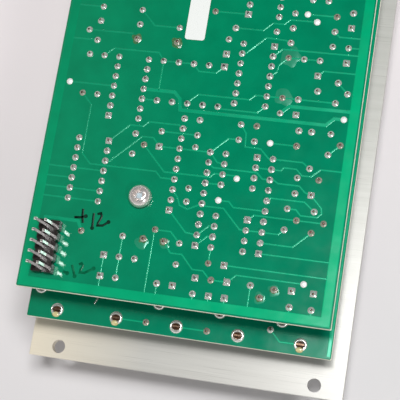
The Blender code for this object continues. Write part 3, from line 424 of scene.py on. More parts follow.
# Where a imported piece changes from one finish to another: half widths and heights of its main
# part, and how far a finish reaches past a face
HEADER_BASE_HEIGHT = 0.0026
STRIP_BASE_HEIGHT = 0.0029
CHIP_HALF_WIDTH = 0.0032
RESISTOR_HALF_LENGTH = 0.00316
JACK_HALF_WIDTH = 0.00517
LINE_HALF_WIDTH = 0.00047
LINE_LIMITS = (0.00001, 0.00032)  # heights over the table
FACE_REACH = 0.0001
LEAD_REACH = 0.0002

# Heights of a joint over its face, with its half width at each as a share of the pad's
JOINT_SHARES = (
    (-0.05, 1.02), (0.04, 1.0), (0.12, 0.87), (0.21, 0.73), (0.32, 0.58), (0.46, 0.46),
    (0.62, 0.4), (0.94, 0.37), (1.0, 0.33),
)
DOME_SHARES = (
    (-0.04, 1.0), (0.04, 1.0), (0.2, 0.9), (0.34, 0.68), (0.42, 0.4), (0.45, 0.12),
)

# Heights of a lug's joint, with its half width and half depth at each
LUG_SHARES = (
    (-0.05, 1.02, 1.02), (0.06, 1.0, 1.0), (0.34, 0.94, 0.93), (0.56, 0.86, 0.82),
    (0.66, 0.76, 0.68), (0.6, 0.69, 0.56), (0.42, 0.64, 0.48), (0.2, 0.6, 0.43),
)
POOL_SHARES = (
    (0.1, 0.66, 0.5), (0.3, 0.64, 0.48), (0.36, 0.6, 0.42), (0.34, 0.3, 0.2),
)
AMBER_SHARES = (
    (0.05, 1.0, 0.72), (0.5, 0.94, 0.66), (0.72, 0.76, 0.5), (0.8, 0.4, 0.24),
)
AMBER_LUGS = ((3, 1), (9, 1), (27, 1))
AMBER_SHIFT = (-0.0001, -0.00125)
AMBER_WIDTH = 0.0019


def new_material(name, colour, roughness, metallic=0.0):
    """A Principled material, with its shader, ready for more nodes."""
    material = bpy.data.materials.new(name)
    material.use_nodes = True
    shader = material.node_tree.nodes["Principled BSDF"]
    shader.inputs["Base Color"].default_value = (*colour, 1)
    shader.inputs["Roughness"].default_value = roughness
    shader.inputs["Metallic"].default_value = metallic
    return material, shader


def add_node(material, kind, inputs=None, **settings):
    """Add a node to a material or a world, with its settings and its inputs' values or links."""
    node = material.node_tree.nodes.new("ShaderNode" + kind)
    for name, value in settings.items():
        setattr(node, name, value)
    for name, value in (inputs or {}).items():
        if isinstance(value, bpy.types.NodeSocket):
            material.node_tree.links.new(value, node.inputs[name])
        else:
            node.inputs[name].default_value = value
    return node


def object_place(material):
    """The place on the object, in metres."""
    return add_node(material, "TexCoord").outputs["Object"]


def grain(material, size, stretch=(1, 1, 1), detail=3.0):
    """A noise with features of this size in metres, stretched along the axes. Gives its value."""
    place = object_place(material)
    scale = [1 / (size * share) for share in stretch]
    spread = add_node(material, "Mapping", {"Vector": place, "Scale": scale}).outputs["Vector"]
    noise = add_node(material, "TexNoise", {"Vector": spread, "Scale": 1, "Detail": detail})
    return noise.outputs["Fac"]


def spread_out(material, value, low, high):
    """Spread the middle of a noise's range over the values from low to high."""
    inputs = {"Value": value, **NOISE_MIDDLE, "To Min": low, "To Max": high}
    return add_node(material, "MapRange", inputs).outputs["Result"]


def mixed(material, factor, first, second):
    """A colour between two others."""
    node = add_node(material, "Mix", data_type="RGBA")
    material.node_tree.links.new(factor, node.inputs["Factor"])
    for socket, colour in ((node.inputs[6], first), (node.inputs[7], second)):
        if isinstance(colour, bpy.types.NodeSocket):
            material.node_tree.links.new(colour, socket)
        else:
            socket.default_value = (*colour, 1)
    return node.outputs[2]


def connect(material, value, shader, socket):
    """Link a value to a socket of the shader."""
    material.node_tree.links.new(value, shader.inputs[socket])


def emboss(material, shader, height, distance):
    """Raise the surface by a height map, over this distance."""
    bump = add_node(material, "Bump", {"Height": height, "Distance": distance, "Strength": 1})
    connect(material, bump.outputs["Normal"], shader, "Normal")


def share_between(material, value, start, end):
    """Zero to one, as the value goes from the start to the end."""
    inputs = {"Value": value, "From Min": start, "From Max": end}
    return add_node(material, "MapRange", inputs).outputs["Result"]


def toned(material, shader, colour, value):
    """Connect a colour to the shader, lightened or darkened by a value."""
    shade = add_node(material, "HueSaturation", {"Color": colour, "Value": value})
    connect(material, shade.outputs["Color"], shader, "Base Color")


def slope_over(material, heading, start, end):
    """A value that grows from zero to one along a heading, between two distances in metres."""
    inputs = {0: object_place(material), 1: (*heading, 0)}
    along = add_node(material, "VectorMath", inputs, operation="DOT_PRODUCT").outputs["Value"]
    return share_between(material, along, start, end)


def rough_limits(roughness, shares):
    """The least and the greatest roughness of a surface, from its mean."""
    return [roughness * share for share in shares]


def solder_mask(name, colour, painted_sheen, roughness, glint):
    """Glossy green lacquer that turns to a second tone towards the lower right as a painted sheen,
    and is slightly uneven.
    """
    material, shader = new_material(name, colour, roughness)
    shader.inputs["Specular Tint"].default_value = (*glint, 1)
    # painted sheen: the lacquer's tone turns towards the lower right of the board
    tone = mixed(material, slope_over(material, *MASK_PAINTED_SHEEN_SLOPE), colour, painted_sheen)
    value = grain(material, MASK_GRAIN, detail=5)
    toned(material, shader, tone, spread_out(material, value, *MASK_TONES))
    limits = rough_limits(roughness, MASK_GLOSS_SHARES)
    gloss = spread_out(material, grain(material, MASK_GLOSS_GRAIN), *limits)
    connect(material, gloss, shader, "Roughness")
    emboss(material, shader, grain(material, MASK_WAVES, detail=2), MASK_RELIEF)
    return material


def make_laminate():
    """Pale glass fibre laminate, as the boards' cut edges show it."""
    material, shader = new_material("laminate", (0.72, 0.7, 0.5), 0.6)
    layers = spread_out(material, grain(material, LAMINATE_GRAIN, LAMINATE_STRETCH), 0, 1)
    tone = mixed(material, layers, (0.8, 0.78, 0.6), (0.97, 0.95, 0.82))
    connect(material, tone, shader, "Base Color")
    emboss(material, shader, layers, LAMINATE_RELIEF)
    return material


def vary(material, shader, value, colours, limits, relief):
    """Let a noise change the colour, the roughness and the height of a surface together."""
    tone = mixed(material, spread_out(material, value, 0, 1), *colours)
    connect(material, tone, shader, "Base Color")
    connect(material, spread_out(material, value, *limits), shader, "Roughness")
    emboss(material, shader, value, relief)


def make_metal(name, colour, dull, roughness, size=METAL_GRAIN, relief=METAL_RELIEF, metallic=1.0):
    """A bare metal with small changes of tone and gloss."""
    material, shader = new_material(name, colour, roughness, metallic)
    limits = rough_limits(roughness, METAL_GLOSS_SHARES)
    vary(material, shader, grain(material, size), (colour, dull), limits, relief)
    return material


def make_plastic(
    name, colour, pale, roughness, size=PLASTIC_GRAIN, relief=PLASTIC_RELIEF, gloss=0.5
):
    """A moulded plastic with a fine grain."""
    material, shader = new_material(name, colour, roughness)
    shader.inputs["Specular IOR Level"].default_value = gloss
    limits = rough_limits(roughness, PLASTIC_GLOSS_SHARES)
    vary(material, shader, grain(material, size), (colour, pale), limits, relief)
    return material


def make_banded(name, colour, row):
    """A lacquered resistor body with its painted rings, round the middle row of the resistors."""
    material, shader = new_material(name, colour, 0.3)
    along = add_node(material, "SeparateXYZ", {"Vector": object_place(material)}).outputs["Y"]
    tone = spread_out(material, grain(material, METAL_GRAIN), *LACQUER_TONES)
    shade = add_node(material, "HueSaturation", {"Color": (*colour, 1), "Value": tone})
    shade = shade.outputs["Color"]
    for offset, paint_colour in RESISTOR_BANDS:
        inputs = {0: along, 1: REAR.bottom + row * GRID + offset, 2: BAND_WIDTH / 2}
        near = add_node(material, "Math", inputs, operation="COMPARE").outputs["Value"]
        shade = mixed(material, near, shade, paint_colour)
    connect(material, shade, shader, "Base Color")
    emboss(material, shader, grain(material, METAL_GRAIN), METAL_RELIEF)
    return material


def make_strap(name, stain, pale_stain, clean):
    """A jack's tinned strap, stained by flux where it stands out of the front board."""
    material, shader = new_material(name, clean, 0.3, 1.0)
    height = add_node(material, "SeparateXYZ", {"Vector": object_place(material)}).outputs["Z"]
    above = add_node(material, "Math", {0: height, 1: FRONT.under}, operation="GREATER_THAN")
    value = grain(material, STRAP_GRAIN)
    stained = mixed(material, spread_out(material, value, 0, 1), stain, pale_stain)
    tone = mixed(material, above.outputs["Value"], clean, stained)
    connect(material, tone, shader, "Base Color")
    emboss(material, shader, value, METAL_RELIEF)
    return material


def make_brushed(name):
    """Brushed aluminium, with its fine lines along X and a painted warm reflection over its left
    end.
    """
    material, shader = new_material(name, (0.64, 0.63, 0.61), 0.32, 0.12)
    lines = grain(material, LINE_GRAIN, LINE_STRETCH, detail=4)
    streaks = spread_out(material, grain(material, STREAK_GRAIN, STREAK_STRETCH, detail=2), 0, 1)
    across = slope_over(material, *PANEL_PAINTED_REFLECTION_SLOPE)
    plain = mixed(material, streaks, (0.5, 0.492, 0.46), (0.555, 0.547, 0.515))
    # painted reflection: the left end of the panel turns warm beige
    tone = mixed(material, across, (0.82, 0.745, 0.6), plain)
    toned(material, shader, tone, spread_out(material, lines, *LINE_TONES))
    connect(material, spread_out(material, lines, *BRUSHED_GLOSS), shader, "Roughness")
    emboss(material, shader, lines, LINE_RELIEF)
    return material


def make_thread(name):
    """A nickel plated fine thread, as rings along Z, with painted shade in the grooves between
    them.
    """
    material, shader = new_material(name, (0.72, 0.7, 0.66), 0.22, 1.0)
    inputs = {"Vector": object_place(material), "Scale": THREAD_WAVE / THREAD_PITCH, "Detail": 0}
    rings = add_node(material, "TexWave", inputs, bands_direction="Z").outputs["Fac"]
    # painted shade: the thread's grooves are darker than its crests
    tone = mixed(material, rings, (0.3, 0.29, 0.27), (0.74, 0.72, 0.68))
    connect(material, tone, shader, "Base Color")
    gloss = spread_out(material, grain(material, THREAD_GRAIN), *THREAD_GLOSS)
    connect(material, gloss, shader, "Roughness")
    emboss(material, shader, rings, THREAD_DEPTH)
    return material


# Each lacquer's second colour is its painted sheen, towards the lower right of the board
MASK = solder_mask(
    "solder_mask", (0.0, 0.225, 0.1), (0.0, 0.222, 0.116), 0.1, (0.85, 1.0, 0.96)
)
FRONT_MASK = solder_mask(
    "front_solder_mask", (0.0, 0.19, 0.083), (0.0, 0.22, 0.12), 0.14, (0.8, 1.0, 0.95)
)
BAND_MASK = solder_mask(
    "solder_mask_on_copper_band", (0.0, 0.24, 0.105), (0.0, 0.45, 0.2), 0.14, (0.6, 1.0, 0.9)
)
TRACK_MASK = solder_mask(
    "solder_mask_on_copper", (0.0, 0.27, 0.125), (0.0, 0.42, 0.205), 0.18, (0.45, 1.0, 0.82)
)
TRACK_MASK.node_tree.nodes["Principled BSDF"].inputs["Specular IOR Level"].default_value = 1.0
LAMINATE = make_laminate()
SOLDER = make_metal(
    "solder", (0.98, 0.99, 0.95), (0.84, 0.83, 0.78), 0.19, 0.0005, FINE_RELIEF, metallic=0.78
)
# A whiter, more diffuse copy of the solder: a painted highlight on the domed joints
SOLDER_WITH_PAINTED_HIGHLIGHT = make_metal(
    "solder_with_painted_highlight", (1.0, 1.0, 0.99), (0.97, 0.96, 0.95), 0.3, relief=SMOOTH_RELIEF, metallic=0.3
)
OLD_SOLDER = make_metal(
    "stained_solder", (0.66, 0.62, 0.55), (0.3, 0.3, 0.22), 0.24, 0.0004, metallic=0.6
)
HAZE = solder_mask("flux_haze", (0.01, 0.22, 0.11), (0.02, 0.27, 0.15), 0.2, (0.6, 1.0, 0.9))
RESIDUE = make_plastic("flux_residue", (0.02, 0.13, 0.05), (0.1, 0.2, 0.08), 0.14)
LINE_PAINT = make_plastic("white_line", (0.85, 0.85, 0.83), (0.9, 0.9, 0.88), 0.45)
LEAD_END = make_metal("cut_lead", (0.08, 0.035, 0.03), (0.19, 0.1, 0.085), 0.4, 0.0003)
FLUX = make_plastic("flux", (0.03, 0.012, 0.006), (0.1, 0.045, 0.02), 0.12, 0.001)
AMBER = make_plastic("amber_flux", (0.5, 0.42, 0.16), (0.75, 0.68, 0.4), 0.1, 0.0012)
PEN = make_plastic("marker_ink", (0.0, 0.006, 0.003), (0.0, 0.04, 0.02), 0.3, 0.0012, gloss=0.15)
FAINT_PEN = make_plastic(
    "worn_marker_ink", (0.0, 0.07, 0.03), (0.0, 0.15, 0.065), 0.2, 0.0012, gloss=0.15
)
PAPER = make_plastic(
    "sticker_paper", (0.8, 0.83, 0.8), (0.84, 0.86, 0.84), 0.55, 0.0004, 0.000004
)
BRUSHED = make_brushed("brushed_aluminium")
PIN_METAL = make_metal(
    "tinned_pin", (0.96, 0.92, 0.9), (0.85, 0.8, 0.78), 0.14, relief=FINE_RELIEF
)
LUG_METAL = make_strap("jack_strap", (0.1, 0.06, 0.04), (0.2, 0.13, 0.09), (0.85, 0.82, 0.79))
THREAD = make_thread("nickel_thread")
NICKEL = make_metal("nickel", (0.72, 0.7, 0.66), (0.6, 0.57, 0.52), 0.26, 0.0015, SMOOTH_RELIEF)
STEEL = make_metal(
    "plated_steel", (0.93, 0.87, 0.84), (0.8, 0.74, 0.71), 0.22, 0.0014, SMOOTH_RELIEF, 0.75
)
# painted reflection: a bluish tone for the floor of the screw's recess
PAINTED_RECESS_REFLECTION = make_metal("screw_recess_painted_reflection", (0.5, 0.62, 0.68), (0.4, 0.5, 0.56), 0.35, metallic=0.5)
POT_STEEL = make_metal(
    "potentiometer_steel", (0.56, 0.57, 0.56), (0.46, 0.46, 0.44), 0.36, 0.0015, FINE_RELIEF
)
BLACK = make_plastic(
    "black_nylon", (0.006, 0.003, 0.003), (0.012, 0.007, 0.007), 0.3, relief=0.000006
)
KNOB = make_plastic("knob_plastic", (0.02, 0.02, 0.022), (0.03, 0.03, 0.032), 0.42)
CHIP = make_plastic("chip_moulding", (0.026, 0.026, 0.028), (0.04, 0.04, 0.042), 0.6, 0.0003)
SLEEVE = make_plastic("capacitor_sleeve", (0.01, 0.018, 0.08), (0.014, 0.024, 0.1), 0.32)
LACQUER = make_banded("resistor_lacquer", (0.12, 0.34, 0.52), RESISTOR_ROW)
FILM_BOX = make_plastic("film_capacitor_box", (0.42, 0.03, 0.025), (0.5, 0.05, 0.04), 0.35)


def finished(shape, name, materials, sharp_angle=SHARP_ANGLE):
    """Turn a working shape into an object in the scene."""
    bmesh.ops.recalc_face_normals(shape, faces=shape.faces)
    mesh = bpy.data.meshes.new(name)
    shape.to_mesh(mesh)
    shape.free()
    for material in materials:
        mesh.materials.append(material)
    mesh.shade_smooth()
    mesh.set_sharp_from_angle(angle=math.radians(sharp_angle))
    piece = bpy.data.objects.new(name, mesh)
    bpy.context.scene.collection.objects.link(piece)
    return piece


def add_block(shape, low, high):
    """Add a block between two corners."""
    for corner in bmesh.ops.create_cube(shape, size=1)["verts"]:
        for axis in range(3):
            corner.co[axis] = high[axis] if corner.co[axis] > 0 else low[axis]


def round_edges(shape, edges, reach, steps):
    """Round some edges of a shape."""
    bmesh.ops.bevel(
        shape, geom=edges, offset=reach, segments=steps, affect="EDGES", profile=0.5
    )


def rounded_block(name, low, high, edge, materials):
    """A block whose edges are all slightly rounded."""
    shape = bmesh.new()
    add_block(shape, low, high)
    round_edges(shape, shape.edges[:], edge, EDGE_STEPS)
    return finished(shape, name, materials, FLAT_ANGLE)


def join_rings(shape, lower, upper):
    """Join two rings of vertices with a band of faces."""
    for index in range(len(lower)):
        after = (index + 1) % len(lower)
        shape.faces.new((lower[index], lower[after], upper[after], upper[index]))


def loft(shape, rings):
    """Join rings of points into a skin, and close its two ends."""
    made = [[shape.verts.new(point) for point in points] for points in rings]
    for lower, upper in zip(made, made[1:]):
        join_rings(shape, lower, upper)
    shape.faces.new(made[0][::-1])
    shape.faces.new(made[-1])


def side_steps(points):
    """At each point of a chain, the step to its left that keeps both edges a width of one apart."""
    runs = [(after - before).normalized() for before, after in zip(points, points[1:])]
    steps = []
    for index in range(len(points)):
        first = runs[max(index - 1, 0)]
        second = runs[min(index, len(runs) - 1)]
        middle = (first + second).normalized()
        left = Vector((-middle.y, middle.x, 0))
        square = Vector((-first.y, first.x, 0))
        steps.append(left / max(left.dot(square), MITRE_LIMIT))
    return steps


def add_track(shape, points, width, slope=TRACK_SLOPE):
    """Add a raised track with sloping sides along a chain of points on a board's face."""
    rings = []
    for point, left in zip(points, side_steps(points)):
        side = []
        for reach_share, rise_share in TRACK_SHARES:
            reach = left * (width / 2 + slope * reach_share)
            rise = TRACK_LIFT * rise_share - (0 if rise_share else MASK_LIFT)
            side.append((reach, Vector((0, 0, rise))))
        section = [point + reach + rise for reach, rise in side]
        section += [point - reach + rise for reach, rise in reversed(side)]
        rings.append(section)
    loft(shape, rings)


def make_tracks(name, board, chains):
    """All of a board's tracks, as one piece under the solder mask."""
    shape = bmesh.new()
    for width, tracks in chains:
        for track in tracks:
            add_track(shape, [on_board(board, *step) for step in track], width)
    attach(finished(shape, name, [TRACK_MASK], TRACK_ANGLE), "frame")


def make_border(name, board):
    """The broad copper band round a board's rim, under the solder mask."""
    shape = bmesh.new()
    outer, inner = BORDER_OUTER_STEPS * GRID, BORDER_INNER_STEPS * GRID
    sections = (
        (outer - TRACK_SLOPE, -MASK_LIFT),
        (outer, BORDER_LIFT),
        (inner, BORDER_LIFT),
        (inner + TRACK_SLOPE, -MASK_LIFT),
    )
    rings = []
    for inset, lift in sections:
        x_limits = board.left + inset, board.right - inset
        y_limits = board.bottom + inset, board.top - inset
        corners = [(x_limits[x], y_limits[y]) for x, y in ((0, 0), (1, 0), (1, 1), (0, 1))]
        rings.append([shape.verts.new((*corner, board.face + lift)) for corner in corners])
    for first, second in zip(rings, rings[1:] + rings[:1]):
        join_rings(shape, first, second)
    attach(finished(shape, name, [BAND_MASK], BORDER_ANGLE), "frame")


def make_writing(name, material, strokes, dots):
    """Marker strokes on the rear board, with the heavier dots where the pen stopped."""
    shape = bmesh.new()
    for stroke in strokes:
        add_track(shape, [on_board(REAR, *step) for step in stroke], PEN_WIDTH, PEN_SLOPE)
    for step in dots:
        centre, rings = on_board(REAR, *step), []
        for lift, share in ((-MASK_LIFT, 1.0), (TRACK_LIFT + MASK_LIFT, PEN_DOT_TOP_SHARE)):
            rings.append(ring(centre, PEN_DOT_WIDTH / 2 * share, lift, 0, JOINT_SIDES))
        loft(shape, rings)
    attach(finished(shape, name, [material]), "frame")


def make_sticker():
    """The bare white sticker on the rear board."""
    low, high = (on_board(REAR, *step) for step in STICKER_STEPS)
    low.z += TRACK_LIFT
    high.z += TRACK_LIFT + STICKER_THICKNESS
    shape = bmesh.new()
    add_block(shape, low, high)
    upright = []
    for edge in shape.edges:
        lower, upper = (end.co.z for end in edge.verts)
        if abs(lower - upper) > MASK_LIFT:
            upright.append(edge)
    round_edges(shape, upright, STICKER_CORNER, STICKER_CORNER_STEPS)
    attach(finished(shape, "rear_board_sticker", [PAPER]), "frame")


def around(sides):
    """The angles of the corners of a figure with this many sides."""
    return [2 * math.pi * index / sides for index in range(sides)]


def oval(centre, half_width, half_depth, height, sides):
    """A level ring of points round a centre, in the shape of an ellipse along X and Y."""
    points = []
    for angle in around(sides):
        reach = Vector((half_width * math.cos(angle), half_depth * math.sin(angle), height))
        points.append(centre + reach)
    return points


def ring(centre, half_width, height, square_share, sides, sway=(0, 0)):
    """A level ring of points round a centre, between a circle and a square."""
    points = []
    for angle in around(sides):
        x, y = math.cos(angle), math.sin(angle)
        reach = half_width * (1 + square_share * (1 / max(abs(x), abs(y)) - 1))
        points.append(centre + Vector((reach * x + sway[0], reach * y + sway[1], height)))
    return points


def add_joint(shape, centre, shares, sway, square=False, height=JOINT_HEIGHT):
    """Add a solder joint as a stack of rings, square at its foot on a square pad. Gives its top."""
    angle = random.uniform(0, 2 * math.pi)
    lean = sway * math.cos(angle), sway * math.sin(angle)
    size = random.uniform(*JOINT_WIDTH_SPREAD)
    rings = []
    for rise, width_share in shares:
        share = max(rise, 0)
        squareness = SQUARENESS * max(0.0, 1 - SQUARENESS_FADE * share) if square else 0
        half_width = PAD_WIDTH / 2 * width_share * size
        drift = lean[0] * share, lean[1] * share
        rings.append(ring(centre, half_width, rise * height, squareness, JOINT_SIDES, drift))
    loft(shape, rings)
    return centre + Vector((*lean, rings[-1][0].z - centre.z))


def make_joints():
    """Every solder joint of the rear board, with the cut leads that stand out of them."""
    random.seed(JOINT_SEED)
    solder, stained, leads = bmesh.new(), bmesh.new(), bmesh.new()
    runs = [(column, row + index) for column, row, count in JOINT_RUNS for index in range(count)]
    for steps in runs + list(ROUND_JOINTS + SQUARE_JOINTS + STAINED_JOINTS):
        height = JOINT_HEIGHT * random.uniform(*JOINT_HEIGHT_SPREAD)
        shape = stained if steps in STAINED_JOINTS + DULL_JOINTS else solder
        centre, square = on_board(REAR, *steps), steps in SQUARE_JOINTS
        add_lead(leads, add_joint(shape, centre, JOINT_SHARES, JOINT_SWAY, square, height))
    domes = bmesh.new()
    for steps in DOMED_JOINTS:
        add_joint(domes, on_board(REAR, *steps), DOME_SHARES, DOME_SWAY)
    for name, shape, material in (
        # the domed joints wear the solder with a painted highlight
        ("rear_board_domes", domes, SOLDER_WITH_PAINTED_HIGHLIGHT),
        ("rear_board_solder", solder, SOLDER),
        ("rear_board_stained_solder", stained, OLD_SOLDER),
        ("rear_board_lead_ends", leads, LEAD_END),
    ):
        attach(finished(shape, name, [material], JOINT_ANGLE), "frame")


def make_stains():
    """Thin uneven films of flux round some joints."""
    random.seed(STAIN_SEED)
    for name, material, spots, lift in (
        ("flux_haze", HAZE, HAZE_SPOTS, MASK_LIFT),
        ("flux_residue", RESIDUE, RESIDUE_SPOTS, 2 * MASK_LIFT),
    ):
        shape = bmesh.new()
        for column, row, width in spots:
            centre = on_board(REAR, column, row)
            waves = []
            for order in range(2, 2 + STAIN_WAVES):
                reach = random.uniform(*STAIN_WAVE_SHARES)
                waves.append((order, reach, random.uniform(0, 2 * math.pi)))
            rings = []
            for height, share in ((-MASK_LIFT, 1.0), (lift, STAIN_TOP_SHARE)):
                points = []
                for angle in around(ROUND_SIDES):
                    wave = sum(rise * math.sin(order * angle + turn) for order, rise, turn in waves)
                    reach = width * GRID / 2 * share * (1 + wave)
                    spot = (reach * math.cos(angle), reach * math.sin(angle), height)
                    points.append(centre + Vector(spot))
                rings.append(points)
            loft(shape, rings)
        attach(finished(shape, name, [material]), "frame")


def add_lead(shape, top):
    """Add the cut end of a lead over its joint, at a small slant."""
    slant = Vector([random.uniform(-LEAD_SLANT, LEAD_SLANT) for _ in range(2)])
    rings = []
    for rise, share in LEAD_RINGS:
        points = ring(top, LEAD_WIDTH / 2 * share, rise, 0, LEAD_SIDES)
        if rise > 0:
            points = [point + Vector((0, 0, (point - top).xy.dot(slant))) for point in points]
        rings.append(points)
    loft(shape, rings)


def make_front_joints():
    """The broad joints of the jacks' lugs and the small ones beside them, on the front board."""
    random.seed(FRONT_JOINT_SEED)
    solder, pools, ambers, leads = (bmesh.new() for _ in range(4))
    for steps in LUG_JOINTS:
        centre = on_board(FRONT, *steps)
        for shape, shares in ((solder, LUG_SHARES), (pools, POOL_SHARES)):
            add_ovals(shape, centre, LUG_PAD_WIDTH / 2, shares, LUG_SIDES)
        if steps in AMBER_LUGS:
            centre = centre + Vector((*AMBER_SHIFT, 0))
            add_ovals(ambers, centre, AMBER_WIDTH / 2, AMBER_SHARES, JOINT_SIDES)
    stained = bmesh.new()
    for steps in FRONT_JOINTS:
        shape = stained if steps in DULL_FRONT_JOINTS else solder
        add_lead(leads, add_joint(shape, on_board(FRONT, *steps), JOINT_SHARES, JOINT_SWAY))
    whisker = [on_board(FRONT, *step) for step in WHISKER_STEPS]
    add_track(solder, whisker, WHISKER_WIDTH, WHISKER_SLOPE)
    for name, shape, material in (
        ("front_board_solder", solder, SOLDER),
        ("front_board_stained_solder", stained, OLD_SOLDER),
        ("front_board_flux", pools, FLUX),
        ("front_board_amber", ambers, AMBER),
        ("front_board_lead_ends", leads, LEAD_END),
    ):
        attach(finished(shape, name, [material], JOINT_ANGLE), "frame")


def add_ovals(shape, centre, half_width, shares, sides):
    """Add a stack of ovals round a centre, from shares of its height, width and depth."""
    rings = []
    for rise, width_share, depth_share in shares:
        reach = half_width * width_share, half_width * depth_share
        rings.append(oval(centre, *reach, rise * JOINT_HEIGHT, sides))
    loft(shape, rings)


def make_screw():
    """The screw on the rear board, with a rounded head and a deep recess whose floor carries a
    painted bluish reflection.
    """
    low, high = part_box("rear_board_screw")
    middle = Vector((*middle_of("rear_board_screw"), 0))
    corners = ((-1, -1), (1, -1), (1, 1), (-1, 1))
    head, seat = (high.x - low.x) / 2, REAR.face + SEAT_GAP
    rise = high.z - seat
    profile = [(SCREW_RADIUS, low.z), (SCREW_RADIUS, seat)]
    profile += [(head * share, seat + rise * height_share) for share, height_share in HEAD_SHARES]
    shape = bmesh.new()
    loft(shape, [ring(middle, radius, height, 0, ROUND_SIDES) for radius, height in profile])
    screw = finished(shape, "rear_screw_head", [STEEL])
    cuts = bmesh.new()
    for shares in (PIT_SHARES, *WING_SHARES):
        rings = []
        for depth_share, x_share, y_share in shares:
            x, y, z = head * x_share, head * y_share, high.z - rise * depth_share
            rings.append([middle + Vector((x * i, y * j, z)) for i, j in corners])
        loft(cuts, rings)
    carve(screw, finished(cuts, "screw_cutter", [STEEL]), RECESS_ANGLE, crossing=True)
    # the recess floor takes the painted bluish reflection
    screw.data.materials.append(PAINTED_RECESS_REFLECTION)
    floor = high.z - rise * PIT_SHARES[-1][0]
    for face in screw.data.polygons:
        if abs(face.center.z - floor) < MASK_LIFT:
            face.material_index = 1
    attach(screw, "frame")
    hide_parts("rear_board_screw")


def make_board(name, board, mask):
    """A board's laminate, with its lacquer on both faces."""
    low = Vector((board.left, board.bottom, board.under))
    high = Vector((board.right, board.top, board.face))
    piece = rounded_block(name, low, high, BOARD_EDGE, [LAMINATE, mask])
    for face in piece.data.polygons:
        if abs(face.normal.z) > LEVEL_NORMAL:
            face.material_index = 1
    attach(piece, "frame")
    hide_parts(board.node)


def make_panel():
    """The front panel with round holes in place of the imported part's faceted ones."""
    low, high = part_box("front_panel")
    panel = rounded_block("front_panel_plate", low, high, PANEL_EDGE, [BRUSHED])
    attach(panel, "frame")
    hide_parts("front_panel")
    holes = bmesh.new()
    depth = high.z - low.z + 2 * OVERRUN
    for centre, width in panel_holes():
        radii = {"radius1": width / 2, "radius2": width / 2}
        made = bmesh.ops.create_cone(
            holes, cap_ends=True, segments=ROUND_SIDES, depth=depth, **radii
        )
        bmesh.ops.translate(holes, verts=made["verts"], vec=(*centre, (low.z + high.z) / 2))
    carve(panel, finished(holes, "panel_holes", [BRUSHED]))


def carve(piece, tool, sharp_angle=FLAT_ANGLE, crossing=False):
    """Cut a tool, whose own parts may cross each other, out of a piece, and drop the tool."""
    cut = piece.modifiers.new("Cut", "BOOLEAN")
    cut.operation = "DIFFERENCE"
    cut.object = tool
    cut.use_self = crossing
    bpy.context.view_layer.update()
    graph = bpy.context.evaluated_depsgraph_get()
    mesh = bpy.data.meshes.new_from_object(piece.evaluated_get(graph))
    piece.modifiers.clear()
    piece.data = mesh
    mesh.set_sharp_from_angle(angle=math.radians(sharp_angle))
    bpy.data.objects.remove(tool)


def panel_holes():
    """The middle and width of each hole in the panel: four for the rack, one for each control."""
    low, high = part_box("front_panel")
    left = low.x + RAIL_HOLE_FROM_SIDE
    for x in (left, left + RAIL_HOLE_SPAN):
        for y in (low.y + RAIL_HOLE_FROM_END, high.y - RAIL_HOLE_FROM_END):
            yield (x, y), RAIL_HOLE_WIDTH
    for number in range(1, JACK_COUNT + 1):
        yield middle_of(f"jack_nut_{number}"), JACK_HOLE_WIDTH
    for number in range(1, POT_COUNT + 1):
        yield middle_of(f"pot_nut_{number}"), POT_HOLE_WIDTH


def middle_of(node):
    """The middle of a node along X and Y."""
    low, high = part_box(node)
    return (low.x + high.x) / 2, (low.y + high.y) / 2


def dress(prefix, material):
    """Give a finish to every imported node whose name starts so."""
    for name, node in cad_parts.items():
        if name.startswith(prefix):
            node.data.materials.clear()
            node.data.materials.append(material)


def off_middle(spot, low, high, axis):
    """How far a spot lies from the middle of its node, along an axis."""
    return abs(spot[axis] - (low[axis] + high[axis]) / 2)


def is_strap(spot, low, high):
    """Whether a spot on a jack lies on one of its metal straps: at its left, front and back."""
    on_side = spot.x < low.x + FACE_REACH or off_middle(spot, low, high, 1) > JACK_HALF_WIDTH
    return spot.z > FRONT.under - LEAD_REACH or (spot.z > PANEL_BACK and on_side)


def is_line(spot, low, high):
    """Whether a spot on a knob lies on the floor of its pointer groove."""
    middle = off_middle(spot, low, high, 0) < LINE_HALF_WIDTH
    return LINE_LIMITS[0] < spot.z < LINE_LIMITS[1] and middle


def is_thread(spot, low, high):
    """Whether a spot lies on the bushing, which passes through the panel."""
    return spot.z < PANEL_BACK + FACE_REACH


def is_lead(spot, low, high):
    """Whether a spot on an upright part under the rear board lies on its leads."""
    return spot.z > REAR.under - LEAD_REACH


def paint(prefix, material, chosen):
    """Give another finish to the faces of every node so named whose middle passes the test."""
    for name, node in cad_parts.items():
        if name.startswith(prefix) and name[len(prefix):].strip("_0123456789") == "":
            low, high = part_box(name)
            node.data.materials.append(material)
            for face in node.data.polygons:
                if chosen(face.center, low, high):
                    face.material_index = len(node.data.materials) - 1


def make_camera():
    """The photograph's camera."""
    data = bpy.data.cameras.new("camera")
    data.sensor_width = SENSOR_WIDTH
    data.lens = SENSOR_WIDTH * FOCAL_PIXELS / IMAGE_PIXELS
    data.clip_start, data.clip_end = CLIP_LIMITS
    camera = bpy.data.objects.new("camera", data)
    bpy.context.scene.collection.objects.link(camera)
    back = (CAMERA_SPOT - CAMERA_AIM).normalized()
    side = Vector((0, 1, 0)).cross(back).normalized()
    level = Matrix((side, back.cross(side), back)).transposed()
    turn = level @ Matrix.Rotation(CAMERA_ROLL, 3, "Z")
    camera.matrix_world = Matrix.Translation(CAMERA_SPOT) @ turn.to_4x4()
    bpy.context.scene.camera = camera


